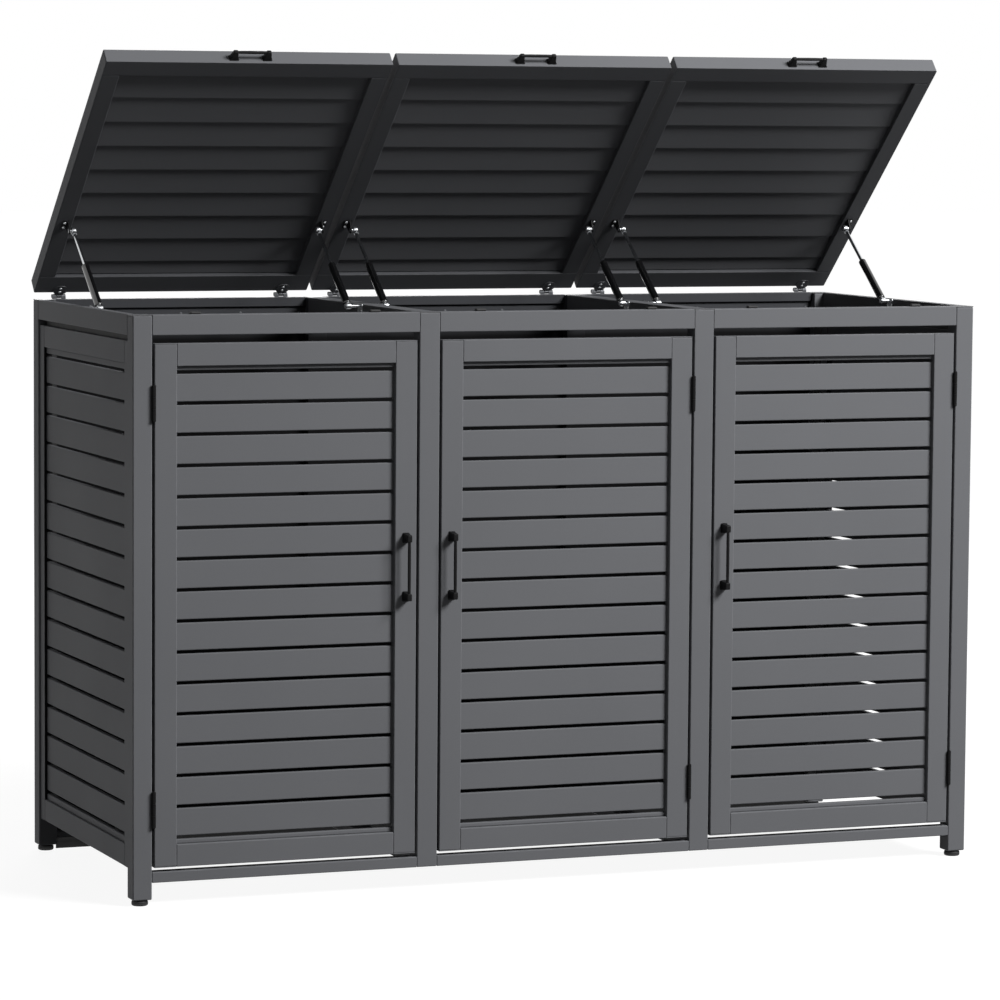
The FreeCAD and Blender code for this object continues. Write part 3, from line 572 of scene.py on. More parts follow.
def screwTree():
    # a low head with a six-sided socket at each spot, turned at random about its own axis
    tree = Maker("socketScrews", {"Head": "Float", "Rise": "Float", "Socket": "Float", "Seed": "Int",
                                  "Finish": "Material"})
    head = tree.given("Head")
    rise = tree.given("Rise")
    dome = tree.node("GeometryNodeMeshCone", sockets={
        "Vertices": 16, "Radius Top": head * 0.74, "Radius Bottom": head, "Depth": rise})
    core = tree.node("GeometryNodeMeshCylinder", sockets={
        "Vertices": 6, "Radius": tree.given("Socket"), "Depth": rise})
    raised = tree.node("GeometryNodeTransform", sockets={
        "Geometry": core, "Translation": tree.vector(z=rise * 0.9)})
    drilled = tree.node("GeometryNodeMeshBoolean", {"operation": "DIFFERENCE", "solver": "EXACT"},
                        {"Mesh 1": dome, "Mesh 2": raised})
    facing = tree.node("GeometryNodeInputNamedAttribute", {"data_type": "FLOAT_VECTOR"}, {"Name": "facing"})
    chance = tree.node("FunctionNodeRandomValue", {"data_type": "FLOAT"}, {
        "Max_001": 6.283, "Seed": tree.given("Seed")}, "Value_001")
    spin = tree.node("FunctionNodeAxisAngleToRotation", sockets={"Axis": (0, 0, 1), "Angle": chance})
    aim = tree.node("FunctionNodeAlignRotationToVector", {"axis": "Z"}, {"Rotation": spin, "Vector": facing})
    tree.close(tree.node("GeometryNodeInstanceOnPoints", sockets={
        "Points": tree.given("Geometry"), "Instance": drilled, "Rotation": aim}))
    return tree


def rivetTree():
    # a domed rivet at each spot
    tree = Maker("domedRivets", {"Head": "Float", "Rise": "Float", "Finish": "Material"})
    ball = tree.node("GeometryNodeMeshUVSphere", sockets={
        "Segments": 10, "Rings": 6, "Radius": tree.given("Head")})
    dome = tree.node("GeometryNodeTransform", sockets={
        "Geometry": ball, "Scale": tree.vector(x=1.0, y=1.0, z=tree.given("Rise"))})
    facing = tree.node("GeometryNodeInputNamedAttribute", {"data_type": "FLOAT_VECTOR"}, {"Name": "facing"})
    aim = tree.node("FunctionNodeAlignRotationToVector", {"axis": "Z"}, {"Vector": facing})
    tree.close(tree.node("GeometryNodeInstanceOnPoints", sockets={
        "Points": tree.given("Geometry"), "Instance": dome, "Rotation": aim}))
    return tree


foldedSlats = slatTree()
socketScrews = screwTree()
domedRivets = rivetTree()
print("trees:", [tree.name for tree in bpy.data.node_groups])


# places that the pieces share

postLow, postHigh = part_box("corner_posts")
left, right, front = postLow.x, postHigh.x, postLow.y
toFront = Vector((0, -1, 0))
alongX = Matrix.Rotation(math.radians(90), 4, "Y")
# a flat outline stands on Y and Z, or lies on X and Z turned over
onSide = Matrix(((0, 0, 1, 0), (1, 0, 0, 0), (0, 1, 0, 0), (0, 0, 0, 1)))
turnedOver = Matrix(((1, 0, 0, 0), (0, 0, 1, 0), (0, 1, 0, 0), (0, 0, 0, 1)))
joints = {joint["name"]: joint for joint in frame["joints"]}
lids = dict(angle=41.5, gap=12 * mm, thick=37 * mm, sheet=1.2 * mm, rearSet=14 * mm, bend=3 * mm, tubeEdge=2 * mm)
lids["width"] = (right - left - 2 * lids["gap"]) / 3
hinge = Vector(joints["lid_1_lift"]["pos_m"])
lids["reach"] = hinge.y - front
lidStarts = [left, -lids["width"] / 2, right - lids["width"]]
lidFrames = [Matrix.Translation((x, hinge.y, hinge.z)) @ Matrix.Rotation(math.radians(-lids["angle"]), 4, "X")
             for x in lidStarts]
screws = {}   # spots by body, filled as the pieces are made


def fasten(body, spot, facing):
    screws.setdefault(body, []).append((Vector(spot), Vector(facing).normalized()))


# carcass tubes

# the radius of each tube's edges
tubes = dict(corner_posts=3.0 * mm, mid_posts=2.5 * mm, front_top_rails=2.0 * mm, front_sills=2.0 * mm,
             rear_top_rails=2.0 * mm, rear_sills=2.0 * mm, side_top_rails=2.0 * mm, divider_beams=2.5 * mm,
             divider_ties=2.0 * mm, side_frames=1.8 * mm)
# inside, the rear tubes get the same painted shade as the back panels: how far round from the front the paint
# goes
paintedShadeInside = dict(mid_posts=-0.3, rear_top_rails=0.4, side_frames=0.4)
for node, radius in tubes.items():
    shell = Shell()
    for low, high in solidBoxes(node):
        shell.bar(low, high, radius)
        # faces turned to the front inside get the black painted shade
        if node in paintedShadeInside and low.y > 0:
            shell.repaint(toFront, 1, low.y, paintedShadeInside[node])
    coats = [greyPaint, paintedShadeBlack] if node in paintedShadeInside else [greyPaint]
    settle(node + "_tubes", shell, coats, "cabinet", [node])

caps = dict(edge=0.8 * mm)
dressBars("post_caps", "post_plugs", plugPlastic, "cabinet", caps["edge"])

# dark strips close the gap between each side's rail and panel and the corner between its panel and its rear post;
# they are painted shade in those gaps
shadeStrip = dict(thick=2 * mm, lap=9 * mm, edge=0.6 * mm, clear=3 * mm, gap=0.3 * mm, overlap=2 * mm)
shell = Shell()
panelLow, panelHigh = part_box("side_frames")
stripTop = panelHigh.z - shadeStrip["lap"]
for low, high in solidBoxes("side_top_rails"):
    x = high.x if low.x < 0 else low.x - shadeStrip["thick"]
    shell.bar((x, low.y, stripTop), (x + shadeStrip["thick"], high.y, low.z + shadeStrip["lap"]), shadeStrip["edge"])
innerLeft = max(high.x for low, high in solidBoxes("side_frames") if high.x < 0)
innerRight = min(low.x for low, high in solidBoxes("side_frames") if low.x > 0)
for low, high in solidBoxes("corner_posts"):
    if low.y > 0:
        start, stop = (innerLeft, high.x) if low.x < 0 else (low.x, innerRight)
        shell.bar((start, low.y - shadeStrip["thick"], panelLow.z), (stop, low.y, stripTop), shadeStrip["edge"])
settle("side_seals", shell, [footRubber], "cabinet")

# one dark strip hangs below the rear sills, held by a lip on each; it is painted shade in the doors' lowest gaps
shell = Shell()
low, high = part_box("rear_sills")
inner, under = low.y - shadeStrip["thick"], low.z - shadeStrip["gap"]
shell.bar((low.x, inner, shadeStrip["clear"]), (high.x, low.y, under), shadeStrip["edge"])
for low, high in solidBoxes("rear_sills"):
    shell.bar((low.x, inner, under - shadeStrip["overlap"]), (high.x, low.y, low.z + shadeStrip["lap"]), shadeStrip["edge"])
settle("rear_seals", shell, [footRubber], "cabinet")
print("carcass: tubes, caps, seals")


# slats of the doors and sides

slats = dict(sheet=1.2 * mm, corner=2.2 * mm)


def slatField(shell, boxes, matrix):
    # boxes of one column of slats, in a frame whose X runs along them and whose Y goes inwards
    heights = {}
    for low, high in boxes:
        heights.setdefault(round(high.z - low.z, 5), []).append((low, high))
    for height, rows in heights.items():
        rows.sort(key=lambda box: box[0].z)
        low, high = rows[0]
        pitch = rows[1][0].z - low.z if len(rows) > 1 else height
        made = foldedSlats.run({"Length": high.x - low.x, "Height": high.z - low.z, "Depth": high.y - low.y,
                                "Corner": slats["corner"], "Tilt": 0.0, "Count": len(rows), "Pitch": pitch,
                                "Finish": greyPaint}, sheet=slats["sheet"])
        shell.takeMesh(made, matrix @ Matrix.Translation(low))


for number in (1, 2, 3):
    node = "door_%d_slats" % number
    shell = Shell()
    slatField(shell, solidBoxes(node), Matrix())
    settle(node + "_folded", shell, [greyPaint], "door_%d" % number, [node])

shell = Shell()
for side in (-1, 1):
    # along the left side X runs from rear to front, along the right side from front to rear
    turn = Matrix.Rotation(math.radians(90 * side), 4, "Z")
    boxes = [box for box in solidBoxes("side_slats", turn) if box[0].y < 0]
    slatField(shell, boxes, turn)
settle("side_slats_folded", shell, [greyPaint], "cabinet", ["side_slats"])
print("slats: doors and sides")


# back panels, riveted to the rails

backs = dict(sheet=1.2 * mm, bend=2.5 * mm, rivetStep=150 * mm, rivetInset=14 * mm, rivetHead=3.4 * mm,
             rivetRise=0.42, paintTurn=0.4)
shell = Shell()
rivets = []
for low, high in solidBoxes("back_panels"):
    size = (high.x - low.x, high.z - low.z, high.y - low.y)
    # the open side of the tray faces the rear
    turn = Matrix.Translation((low.x, low.y + size[2], low.z)) @ Matrix.Rotation(math.radians(90), 4, "X")
    shell.tray(size, backs["sheet"], backs["bend"], turn)
    across = max(2, round(size[0] / backs["rivetStep"]))
    for k in range(across + 1):
        x = low.x + backs["rivetInset"] + (size[0] - 2 * backs["rivetInset"]) * k / across
        for z in (low.z + backs["rivetInset"], high.z - backs["rivetInset"]):
            rivets.append(((x, low.y, z), toFront))
            rivets.append(((x, low.y + backs["sheet"], z), -toFront))
# the face inside the cabinet gets black painted shade, so the gaps between the slats look dark
shell.repaint(toFront, 1, front, backs["paintTurn"])
settle("back_trays", shell, [greyPaint, paintedShadeBlack], "cabinet", ["back_panels"])
shell = Shell()
shell.takeMesh(domedRivets.run({
    "Head": backs["rivetHead"], "Rise": backs["rivetRise"], "Finish": greyPaint}, rivets))
settle("back_rivets", shell, [greyPaint], "cabinet")
print("back panels:", len(rivets), "rivets")


# door frames, pulls, hinges and catches

pulls = dict(foot=20 * mm, wide=14 * mm, sideTaper=0.6, ease=2.4 * mm, collar=3 * mm, collarThick=1.2 * mm,
             collarEdge=0.4 * mm, bar=3.2 * mm, barSet=4.5 * mm, shoulder=1.12, swell=1.15)


def addPull(shell, look, matrix):
    # along Z on a face at Y 0, standing out along -Y
    length, rise = look["length"], look["rise"]
    for end in (-1, 1):
        bm = bmesh.new()
        bmesh.ops.create_cube(bm, size=1.0)
        for vert in bm.verts:
            out = vert.co.y < 0
            slim = look["taper"] if out else 0.0
            near = length / 2 - slim if vert.co.z > 0 else length / 2 - pulls["foot"] + slim
            wide = pulls["wide"] / 2 - slim * pulls["sideTaper"]
            vert.co = Vector((math.copysign(wide, vert.co.x), -rise if out else 0.0, near * end))
        bmesh.ops.recalc_face_normals(bm, faces=bm.faces[:])
        edges = [e for e in bm.edges if any(v.co.y < -0.5 * rise for v in e.verts)]
        bmesh.ops.bevel(bm, geom=edges, offset=pulls["ease"], segments=4, profile=0.5, affect="EDGES")
        shell.take(bm, matrix)
        # a thin collar where the foot meets the face
        collar = roundedOutline(pulls["wide"] + pulls["collar"], pulls["foot"] + pulls["collar"], pulls["collar"])
        seat = Matrix.Translation((0, 0, end * (length / 2 - pulls["foot"] / 2)))
        shell.plate(collar, pulls["collarThick"], pulls["collarEdge"],
                    matrix @ seat @ Matrix.Rotation(math.radians(90), 4, "X"))
    # the bar swells towards its middle
    reach = length / 2 - look["taper"] - pulls["ease"]
    thin, thick, most = pulls["bar"], pulls["bar"] * pulls["shoulder"], pulls["bar"] * pulls["swell"]
    outline = [(0, -reach), (thin, -reach), (thick, -reach * 0.5), (most, 0), (thick, reach * 0.5),
               (thin, reach), (0, reach)]
    shell.turned(outline, matrix @ Matrix.Translation((0, pulls["barSet"] - rise, 0)), steps=20)


# the tip of the pin is pairs of radius and rise
hinges = dict(height=80 * mm, barrel=4.2 * mm, gap=5.5 * mm, leaf=20 * mm, gauge=2 * mm, set=4.7 * mm,
              inset=90 * mm, play=0.3 * mm, edge=0.5 * mm, neckEdge=0.4 * mm,
              tip=[(0, -1 * mm), (2.9 * mm, -1 * mm), (2.9 * mm, 0.5 * mm), (2.2 * mm, 1.5 * mm), (0, 2 * mm)])


def knuckleOutline(radius, low, high, ease):
    return [(0, low), (radius - ease, low), (radius, low + ease), (radius, high - ease), (radius - ease, high),
            (0, high)]


def addDoorLeaf(shell, matrix, ofPost):
    # about the pin, upwards along Z; the post's half stands at -X
    third = hinges["height"] / 3
    x = -hinges["gap"] / 2 if ofPost else hinges["gap"] / 2 - hinges["gauge"]
    shell.bar((x, hinges["set"], 0), (x + hinges["gauge"], hinges["set"] + hinges["leaf"], hinges["height"]),
              hinges["edge"], matrix)
    spans = [(0, third - hinges["play"]), (2 * third + hinges["play"], hinges["height"])]
    if not ofPost:
        spans = [(third, 2 * third)]
    for low, high in spans:
        shell.bar((x, 0, low), (x + hinges["gauge"], hinges["set"] + hinges["edge"], high), hinges["neckEdge"],
                  matrix)
        shell.turned(knuckleOutline(hinges["barrel"], low, high, hinges["edge"]), matrix, steps=24)
    if ofPost:
        for end, way in ((0, -1), (hinges["height"], 1)):
            tip = [(radius, end + way * rise) for radius, rise in hinges["tip"]]
            shell.turned(tip, matrix, steps=24)


doors = dict(edge=2 * mm)
doorHandle = dict(length=152 * mm, rise=28 * mm, taper=2 * mm, height=733 * mm, stile=51 * mm)
strike = dict(wide=14 * mm, thick=1.5 * mm, edge=0.5 * mm)
catches = dict(set=1 * mm, edge=1.5 * mm, poles=(3 * mm, 9.5 * mm), poleWide=1.5 * mm, poleDeep=4 * mm,
               poleInset=5 * mm, poleEdge=0.2 * mm)
baseShell = Shell()
catchShell = Shell()
catchSpots = solidBoxes("door_catches")
for number in (1, 2, 3):
    body = "door_%d" % number
    dressBars(body + "_tubes", body + "_frame", greyPaint, body, doors["edge"])
    low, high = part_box(body + "_frame")
    hungLeft = number == 1
    handleX = high.x - doorHandle["stile"] / 2 if hungLeft else low.x + doorHandle["stile"] / 2
    shell = Shell()
    addPull(shell, doorHandle, Matrix.Translation((handleX, low.y, doorHandle["height"])))
    settle(body + "_pull", shell, [blackPaint], body, [body + "_handle"])
    for end in (-1, 1):
        reach = doorHandle["length"] / 2 - pulls["foot"] / 2
        fasten(body, (handleX, high.y, doorHandle["height"] + end * reach), -toFront)
    pin = Vector(joints[body + "_swing"]["pos_m"])
    shell = Shell()
    for base in (low.z + hinges["inset"], high.z - hinges["inset"] - hinges["height"]):
        spot = Matrix.Translation((pin.x, pin.y, base))
        if not hungLeft:
            spot = Matrix.Translation((pin.x, pin.y, base + hinges["height"]))
            spot = spot @ Matrix.Rotation(math.radians(180), 4, "Y")
        addDoorLeaf(shell, spot, False)
        addDoorLeaf(baseShell, spot, True)
    # strike plate behind the free stile
    catchLow, catchHigh = catchSpots[number - 1]
    strikeX = high.x - strike["wide"] if hungLeft else low.x
    shell.bar((strikeX, high.y, catchLow.z), (strikeX + strike["wide"], high.y + strike["thick"], catchHigh.z),
              strike["edge"])
    settle(body + "_fittings", shell, [blackPaint], body, [body + "_hardware"])
    # magnetic catch: a moulded case and two pole strips at its face
    catchShell.bar((catchLow.x, catchLow.y + catches["set"], catchLow.z), catchHigh, catches["edge"])
    poleHigh = catchHigh.z - catches["poleInset"]
    for pole in catches["poles"]:
        x = catchLow.x + pole
        catchShell.bar((x, catchLow.y, catchLow.z + catches["poleInset"]),
                       (x + catches["poleWide"], catchLow.y + catches["poleDeep"], poleHigh),
                       catches["poleEdge"], paint=1)
settle("door_hinge_posts", baseShell, [blackPaint], "cabinet", ["door_hinge_bases"])
settle("catch_cases", catchShell, [blackPlastic, zincSteel], "cabinet", ["door_catches"])
print("doors: frames, pulls, hinges, catches")


# feet and buffers

# the pad's rim is pairs of inset and height, with a groove halfway up
foot = dict(radius=18.5 * mm, height=14 * mm, neck=14 * mm, fillet=1 * mm, shoulder=11.8 * mm,
            rim=[(3 * mm, 0), (1.1 * mm, 0.9 * mm), (0, 3.2 * mm), (0, 6.4 * mm), (0.9 * mm, 6.8 * mm),
                 (0.9 * mm, 7.6 * mm), (0, 8 * mm), (0.3 * mm, 9.6 * mm), (1.6 * mm, 11 * mm)])
outline = [(0, 0)] + [(foot["radius"] - inset, height) for inset, height in foot["rim"]]
outline += [(foot["neck"] + foot["fillet"], foot["shoulder"]), (foot["neck"], foot["height"]),
            (0, foot["height"])]
shell = Shell()
for low, high in solidBoxes("levelling_feet"):
    shell.turned(outline, Matrix.Translation(((low.x + high.x) / 2, (low.y + high.y) / 2, 0)), steps=40)
settle("foot_pads", shell, [footRubber], "cabinet", ["levelling_feet"], crease=50)

buffers = dict(edge=2.4 * mm)
dressBars("buffer_pads", "lid_buffers", footRubber, "cabinet", buffers["edge"], steps=4)
print("feet and buffers")


# lids

planks = dict(slope=6 * mm, corner=1.6 * mm)
lidHinge = dict(width=33 * mm, inset=46 * mm, leaf=32 * mm, drop=20 * mm, barrel=5 * mm, gauge=2 * mm,
                set=6 * mm, play=0.3 * mm, lap=1 * mm, edge=0.4 * mm, knuckleEdge=0.6 * mm, baseCorner=4 * mm,
                baseScrew=8 * mm, screwDrop=0.55, leafCorner=14 * mm, leafEdge=0.5 * mm,
                leafScrews=(10 * mm, 22 * mm))
lidHandle = dict(length=98 * mm, rise=24 * mm, taper=5 * mm, drop=4 * mm)
# the bracket's rivet head is pairs of radius and rise
bracket = dict(inset=40 * mm, reach=262 * mm, drop=20 * mm, tail=8 * mm, long=26 * mm, flange=15 * mm,
               gauge=3 * mm, cheek=9.3 * mm, nose=0.55, edge=0.5 * mm, flangeEdge=0.6 * mm, screwSet=6.4 * mm,
               screwSpread=0.6, head=[(0, 0), (5 * mm, 0), (4.4 * mm, 0.5 * mm), (0, 0.7 * mm)])
baseShell = Shell()


def addLidBase(shell, matrix):
    # the cabinet's half: a plate on the rear face and two knuckles along X
    third = lidHinge["width"] / 3
    top = -lidHinge["barrel"] - lidHinge["play"]
    middle = Matrix.Translation((lidHinge["width"] / 2, -lidHinge["set"], top - lidHinge["drop"] / 2))
    lying = middle @ Matrix.Rotation(math.radians(-90), 4, "X")
    outline = roundedOutline(lidHinge["width"], lidHinge["drop"], lidHinge["baseCorner"])
    shell.plate(outline, lidHinge["gauge"], lidHinge["edge"], matrix @ lying)
    face = -lidHinge["set"] + lidHinge["gauge"]
    for low, high in ((0, third - lidHinge["play"]), (2 * third + lidHinge["play"], lidHinge["width"])):
        shell.bar((low, -lidHinge["set"], top - lidHinge["lap"]), (high, face, 0), lidHinge["edge"], matrix)
        knuckle = knuckleOutline(lidHinge["barrel"], low, high, lidHinge["knuckleEdge"])
        shell.turned(knuckle, matrix @ alongX, steps=28)
    for x in (lidHinge["baseScrew"], lidHinge["width"] - lidHinge["baseScrew"]):
        fasten("cabinet", matrix @ Vector((x, face, top - lidHinge["drop"] * lidHinge["screwDrop"])), -toFront)


def addLidLeaf(shell, body, matrix):
    # the lid's half: a plate under the lid and one knuckle
    third = lidHinge["width"] / 3
    start = lidHinge["set"] + 2 * lidHinge["play"]
    middle = Matrix.Translation((lidHinge["width"] / 2, -start - lidHinge["leaf"] / 2, -lidHinge["gauge"]))
    outline = roundedOutline(lidHinge["width"], lidHinge["leaf"], lidHinge["leafCorner"])
    shell.plate(outline, lidHinge["gauge"], lidHinge["leafEdge"], matrix @ middle, paint=2)
    shell.bar((third, -start - lidHinge["lap"], -lidHinge["gauge"]), (2 * third, 0, 0), lidHinge["edge"], matrix,
              paint=2)
    knuckle = knuckleOutline(lidHinge["barrel"], third, 2 * third, lidHinge["knuckleEdge"])
    shell.turned(knuckle, matrix @ alongX, paint=2, steps=28)
    down = matrix.to_3x3() @ Vector((0, 0, -1))
    for y in lidHinge["leafScrews"]:
        fasten(body, matrix @ Vector((lidHinge["width"] / 2, -start - y, -lidHinge["gauge"])), down)


def addBracket(shell, body, matrix, side):
    # cheek beside the strut's stud and flange under the lid; the cheek stands on the outer side
    deep = bracket["drop"] + bracket["tail"]
    half = bracket["long"] / 2
    nose = bracket["nose"] * half
    outline = [(-half, 0), (half, 0)]
    for k in range(13):
        a = math.radians(-180 * k / 12)
        outline.append((nose * math.cos(a), -deep + nose + nose * math.sin(a)))
    near = bracket["cheek"] if side > 0 else -bracket["cheek"] - bracket["gauge"]
    seat = matrix @ Matrix.Translation((near, 0, 0)) @ onSide
    shell.plate(outline, bracket["gauge"], bracket["edge"], seat, paint=1)
    low, high = sorted((side * bracket["cheek"], side * (bracket["cheek"] + bracket["flange"])))
    shell.bar((low, -half, -bracket["gauge"]), (high, half, 0), bracket["flangeEdge"], matrix, paint=1)
    # rivet head of the stud, on the cheek's outer face
    face = bracket["cheek"] + bracket["gauge"]
    aim = alongX if side > 0 else Matrix.Rotation(math.radians(-90), 4, "Y")
    shell.turned(bracket["head"], matrix @ Matrix.Translation((side * face, 0, -bracket["drop"])) @ aim, steps=24)
    down = matrix.to_3x3() @ Vector((0, 0, -1))
    for share in (-bracket["screwSpread"], bracket["screwSpread"]):
        x = side * (face + bracket["screwSet"])
        fasten(body, matrix @ Vector((x, share * half, -bracket["gauge"])), down)


for number, lidFrame in enumerate(lidFrames, start=1):
    body = "lid_%d" % number
    shell = Shell()
    size = (lids["width"], lids["reach"] - lids["rearSet"], lids["thick"])
    shell.tray(size, lids["sheet"], lids["bend"], lidFrame @ Matrix.Translation((0, -lids["reach"], 0)))
    settle(body + "_tray", shell, [greyPaint], body, [body + "_skin"])
    # the lid's frame tubes wear the darker coat: painted shade
    dressBars(body + "_tubes", body + "_frame", framePaintedShade, body, lids["tubeEdge"], lidFrame)
    # lapped planks: each face leans up towards the rear
    shell = Shell()
    wides = {}
    for low, high in solidBoxes(body + "_planks", lidFrame):
        wides.setdefault(round(high.y - low.y, 4), []).append((low, high))
    for wide, rows in wides.items():
        low, high = rows[0]
        lean = math.atan2(planks["slope"], wide)
        made = foldedSlats.run({"Length": high.x - low.x, "Height": wide / math.cos(lean),
                                "Depth": high.z - low.z - planks["slope"], "Corner": planks["corner"],
                                "Tilt": lean, "Count": 1, "Pitch": wide, "Finish": plankPaintedShade},
                               sheet=slats["sheet"])
        for low, high in rows:
            bm = bmesh.new()
            bm.from_mesh(made)
            bmesh.ops.transform(bm, matrix=Matrix.Translation(low) @ turnedOver, verts=bm.verts[:])
            bmesh.ops.reverse_faces(bm, faces=bm.faces[:])
            shell.take(bm, lidFrame)
        bpy.data.meshes.remove(made)
    # the planks wear the darker coat: painted shade
    settle(body + "_lapped", shell, [plankPaintedShade], body, [body + "_planks"])
    shell = Shell()
    across = Matrix.Translation((lids["width"] / 2, -lids["reach"], lids["thick"] / 2 - lidHandle["drop"]))
    addPull(shell, lidHandle, lidFrame @ across @ alongX)
    settle(body + "_pull", shell, [blackPaint], body, [body + "_handle"])
    shell = Shell()
    for x in (lidHinge["inset"], lids["width"] - lidHinge["inset"] - lidHinge["width"]):
        addLidLeaf(shell, body, lidFrame @ Matrix.Translation((x, 0, 0)))
        addLidBase(baseShell, Matrix.Translation((lidStarts[number - 1] + x, hinge.y, hinge.z)))
    for x, side in ((bracket["inset"], -1), (lids["width"] - bracket["inset"], 1)):
        addBracket(shell, body, lidFrame @ Matrix.Translation((x, -bracket["reach"], 0)), side)
    settle(body + "_fittings", shell, [zincSteel, blackPaint, dullZinc], body,
           [body + "_hardware"])
settle("lid_hinge_plates", baseShell, [dullZinc], "cabinet", ["lid_hinge_bases"])
print("lids: trays, planks, pulls, hinges, brackets")


# gas struts

strut = dict(open=273.650 * mm, angle=38.0402, baseReach=425 * mm, baseDrop=10 * mm, tubeEnd=149.306 * mm,
             tube=9 * mm, bore=4.15 * mm, mouth=4.3 * mm, boreStart=12 * mm, rodStart=126.4 * mm, rod=4 * mm,
             rodEnd=5 * mm, neck=5.6 * mm, eye=8 * mm, eyeWide=12 * mm, eyeEdge=1 * mm, stud=5 * mm,
             studLong=3 * mm)
studPlate = dict(gauge=2 * mm, long=30 * mm, high=22 * mm, lift=6 * mm, corner=5 * mm, edge=0.5 * mm, pin=4 * mm,
                 pinEdge=0.4 * mm, pinEnd=6.3 * mm, clip=5.6 * mm, clipEdge=0.3 * mm,
                 clipEnds=(6.35 * mm, 7.4 * mm), screwSpread=10 * mm, screwDrop=11 * mm)
lean = math.radians(strut["angle"])
standing = Matrix(((1, 0, 0, 0), (0, math.sin(lean), math.cos(lean), 0),
                   (0, -math.cos(lean), math.sin(lean), 0), (0, 0, 0, 1)))
studShell = Shell()
studBoxes = solidBoxes("strut_studs")

# outlines of the strut's turned pieces; a crimped groove runs round the tube near its mouth
r, end, top = strut["tube"], strut["tubeEnd"], strut["open"]
eye, half, mouth, rim = strut["eye"], strut["eyeWide"] / 2, strut["mouth"], strut["eyeEdge"]
tubeOutline = [(0, 7 * mm), (5.6 * mm, 7 * mm), (7.6 * mm, 8 * mm), (r - 0.3 * mm, 9.6 * mm), (r, 12 * mm),
               (r, end - 9 * mm), (r - 0.7 * mm, end - 8.2 * mm), (r - 0.7 * mm, end - 6.6 * mm),
               (r, end - 5.8 * mm), (r, end - 3 * mm), (r - 0.5 * mm, end - 1.2 * mm), (r - 2 * mm, end),
               (mouth, end), (strut["bore"], end - 0.6 * mm), (strut["bore"], strut["boreStart"]),
               (0, strut["boreStart"])]
ringOutline = [(mouth, -half), (eye - rim, -half), (eye, -half + rim), (eye, half - rim), (eye - rim, half),
               (mouth, half), (mouth, -half)]
nutOutline = [(0, 5 * mm), (6.6 * mm, 5 * mm), (6.6 * mm, 9.5 * mm), (5.8 * mm, 10.4 * mm), (0, 10.4 * mm)]
rodTop = top - strut["rodEnd"]
rodOutline = [(0, strut["rodStart"]), (3.4 * mm, strut["rodStart"]), (strut["rod"], strut["rodStart"] + 0.8 * mm),
              (strut["rod"], rodTop), (0, rodTop)]
neckOutline = [(0, top - 13 * mm), (strut["neck"], top - 13 * mm), (strut["neck"], top - 9.6 * mm),
               (4.9 * mm, top - 9 * mm), (strut["neck"], rodTop), (0, rodTop)]
capOutline = [(0, -half), (5.4 * mm, -half), (7.2 * mm, -half + 0.7 * mm), (eye, -half + 2.4 * mm),
              (eye, half - 2.4 * mm), (7.2 * mm, half - 0.7 * mm), (5.4 * mm, half), (0, half)]
plateOutline = roundedOutline(studPlate["long"], studPlate["high"], studPlate["corner"])

for number in (1, 2, 3):
    for side, way in (("left", -1), ("right", 1)):
        name = "strut_%d_%s" % (number, side)
        low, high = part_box(name + "_cylinder")
        x = (low.x + high.x) / 2
        base = Vector((x, hinge.y - strut["baseReach"], hinge.z - strut["baseDrop"]))
        along = Matrix.Translation(base) @ standing
        shell = Shell()
        shell.turned(tubeOutline, along, steps=40)
        shell.turned(ringOutline, along @ alongX, paint=1, steps=36)
        shell.turned(nutOutline, along, paint=1, steps=6)
        settle(name + "_tube", shell, [strutPaint, zincSteel], name + "_cylinder",
               [name + "_cylinder"], crease=50)
        shell = Shell()
        shell.turned(rodOutline, along, steps=32)
        shell.turned(neckOutline, along, paint=1, steps=24)
        upper = along @ Matrix.Translation((0, 0, top)) @ alongX
        shell.turned(capOutline, upper, paint=1, steps=36)
        studLow, studHigh = sorted((way * half * 0.9, way * (half + strut["studLong"])))
        stud = knuckleOutline(strut["stud"], studLow, studHigh, studPlate["pinEdge"])
        shell.turned(stud, upper, paint=1, steps=24)
        settle(name + "_bar", shell, [rodSteel, zincSteel], name + "_rod", [name + "_rod"],
               crease=50)
        # stud plate on the wall beside the strut, with the pin through the lower eye and a clip on its end
        walls = [box[0].x if way < 0 else box[1].x for box in studBoxes if box[0].x <= x <= box[1].x]
        wall = min(walls, key=lambda spot: abs(spot - x))
        near = wall if way < 0 else wall - studPlate["gauge"]
        middle = Matrix.Translation((near, base.y, base.z + studPlate["lift"] - studPlate["high"] / 2))
        studShell.plate(plateOutline, studPlate["gauge"], studPlate["edge"], middle @ onSide)
        pinLow, pinHigh = sorted((wall - x, -way * studPlate["pinEnd"]))
        pin = knuckleOutline(studPlate["pin"], pinLow, pinHigh, studPlate["pinEdge"])
        studShell.turned(pin, Matrix.Translation(base) @ alongX, steps=24)
        clipLow, clipHigh = sorted(-way * spot for spot in studPlate["clipEnds"])
        clip = knuckleOutline(studPlate["clip"], clipLow, clipHigh, studPlate["clipEdge"])
        studShell.turned(clip, Matrix.Translation(base) @ alongX, steps=24)
        face = near + studPlate["gauge"] if way < 0 else near
        for y in (-studPlate["screwSpread"], studPlate["screwSpread"]):
            fasten("cabinet", (face, base.y + y, base.z - studPlate["screwDrop"]), (-way, 0, 0))
settle("strut_stud_plates", studShell, [zincSteel], "cabinet", ["strut_studs"])
print("struts: tubes, rods, studs")


# screws on each body

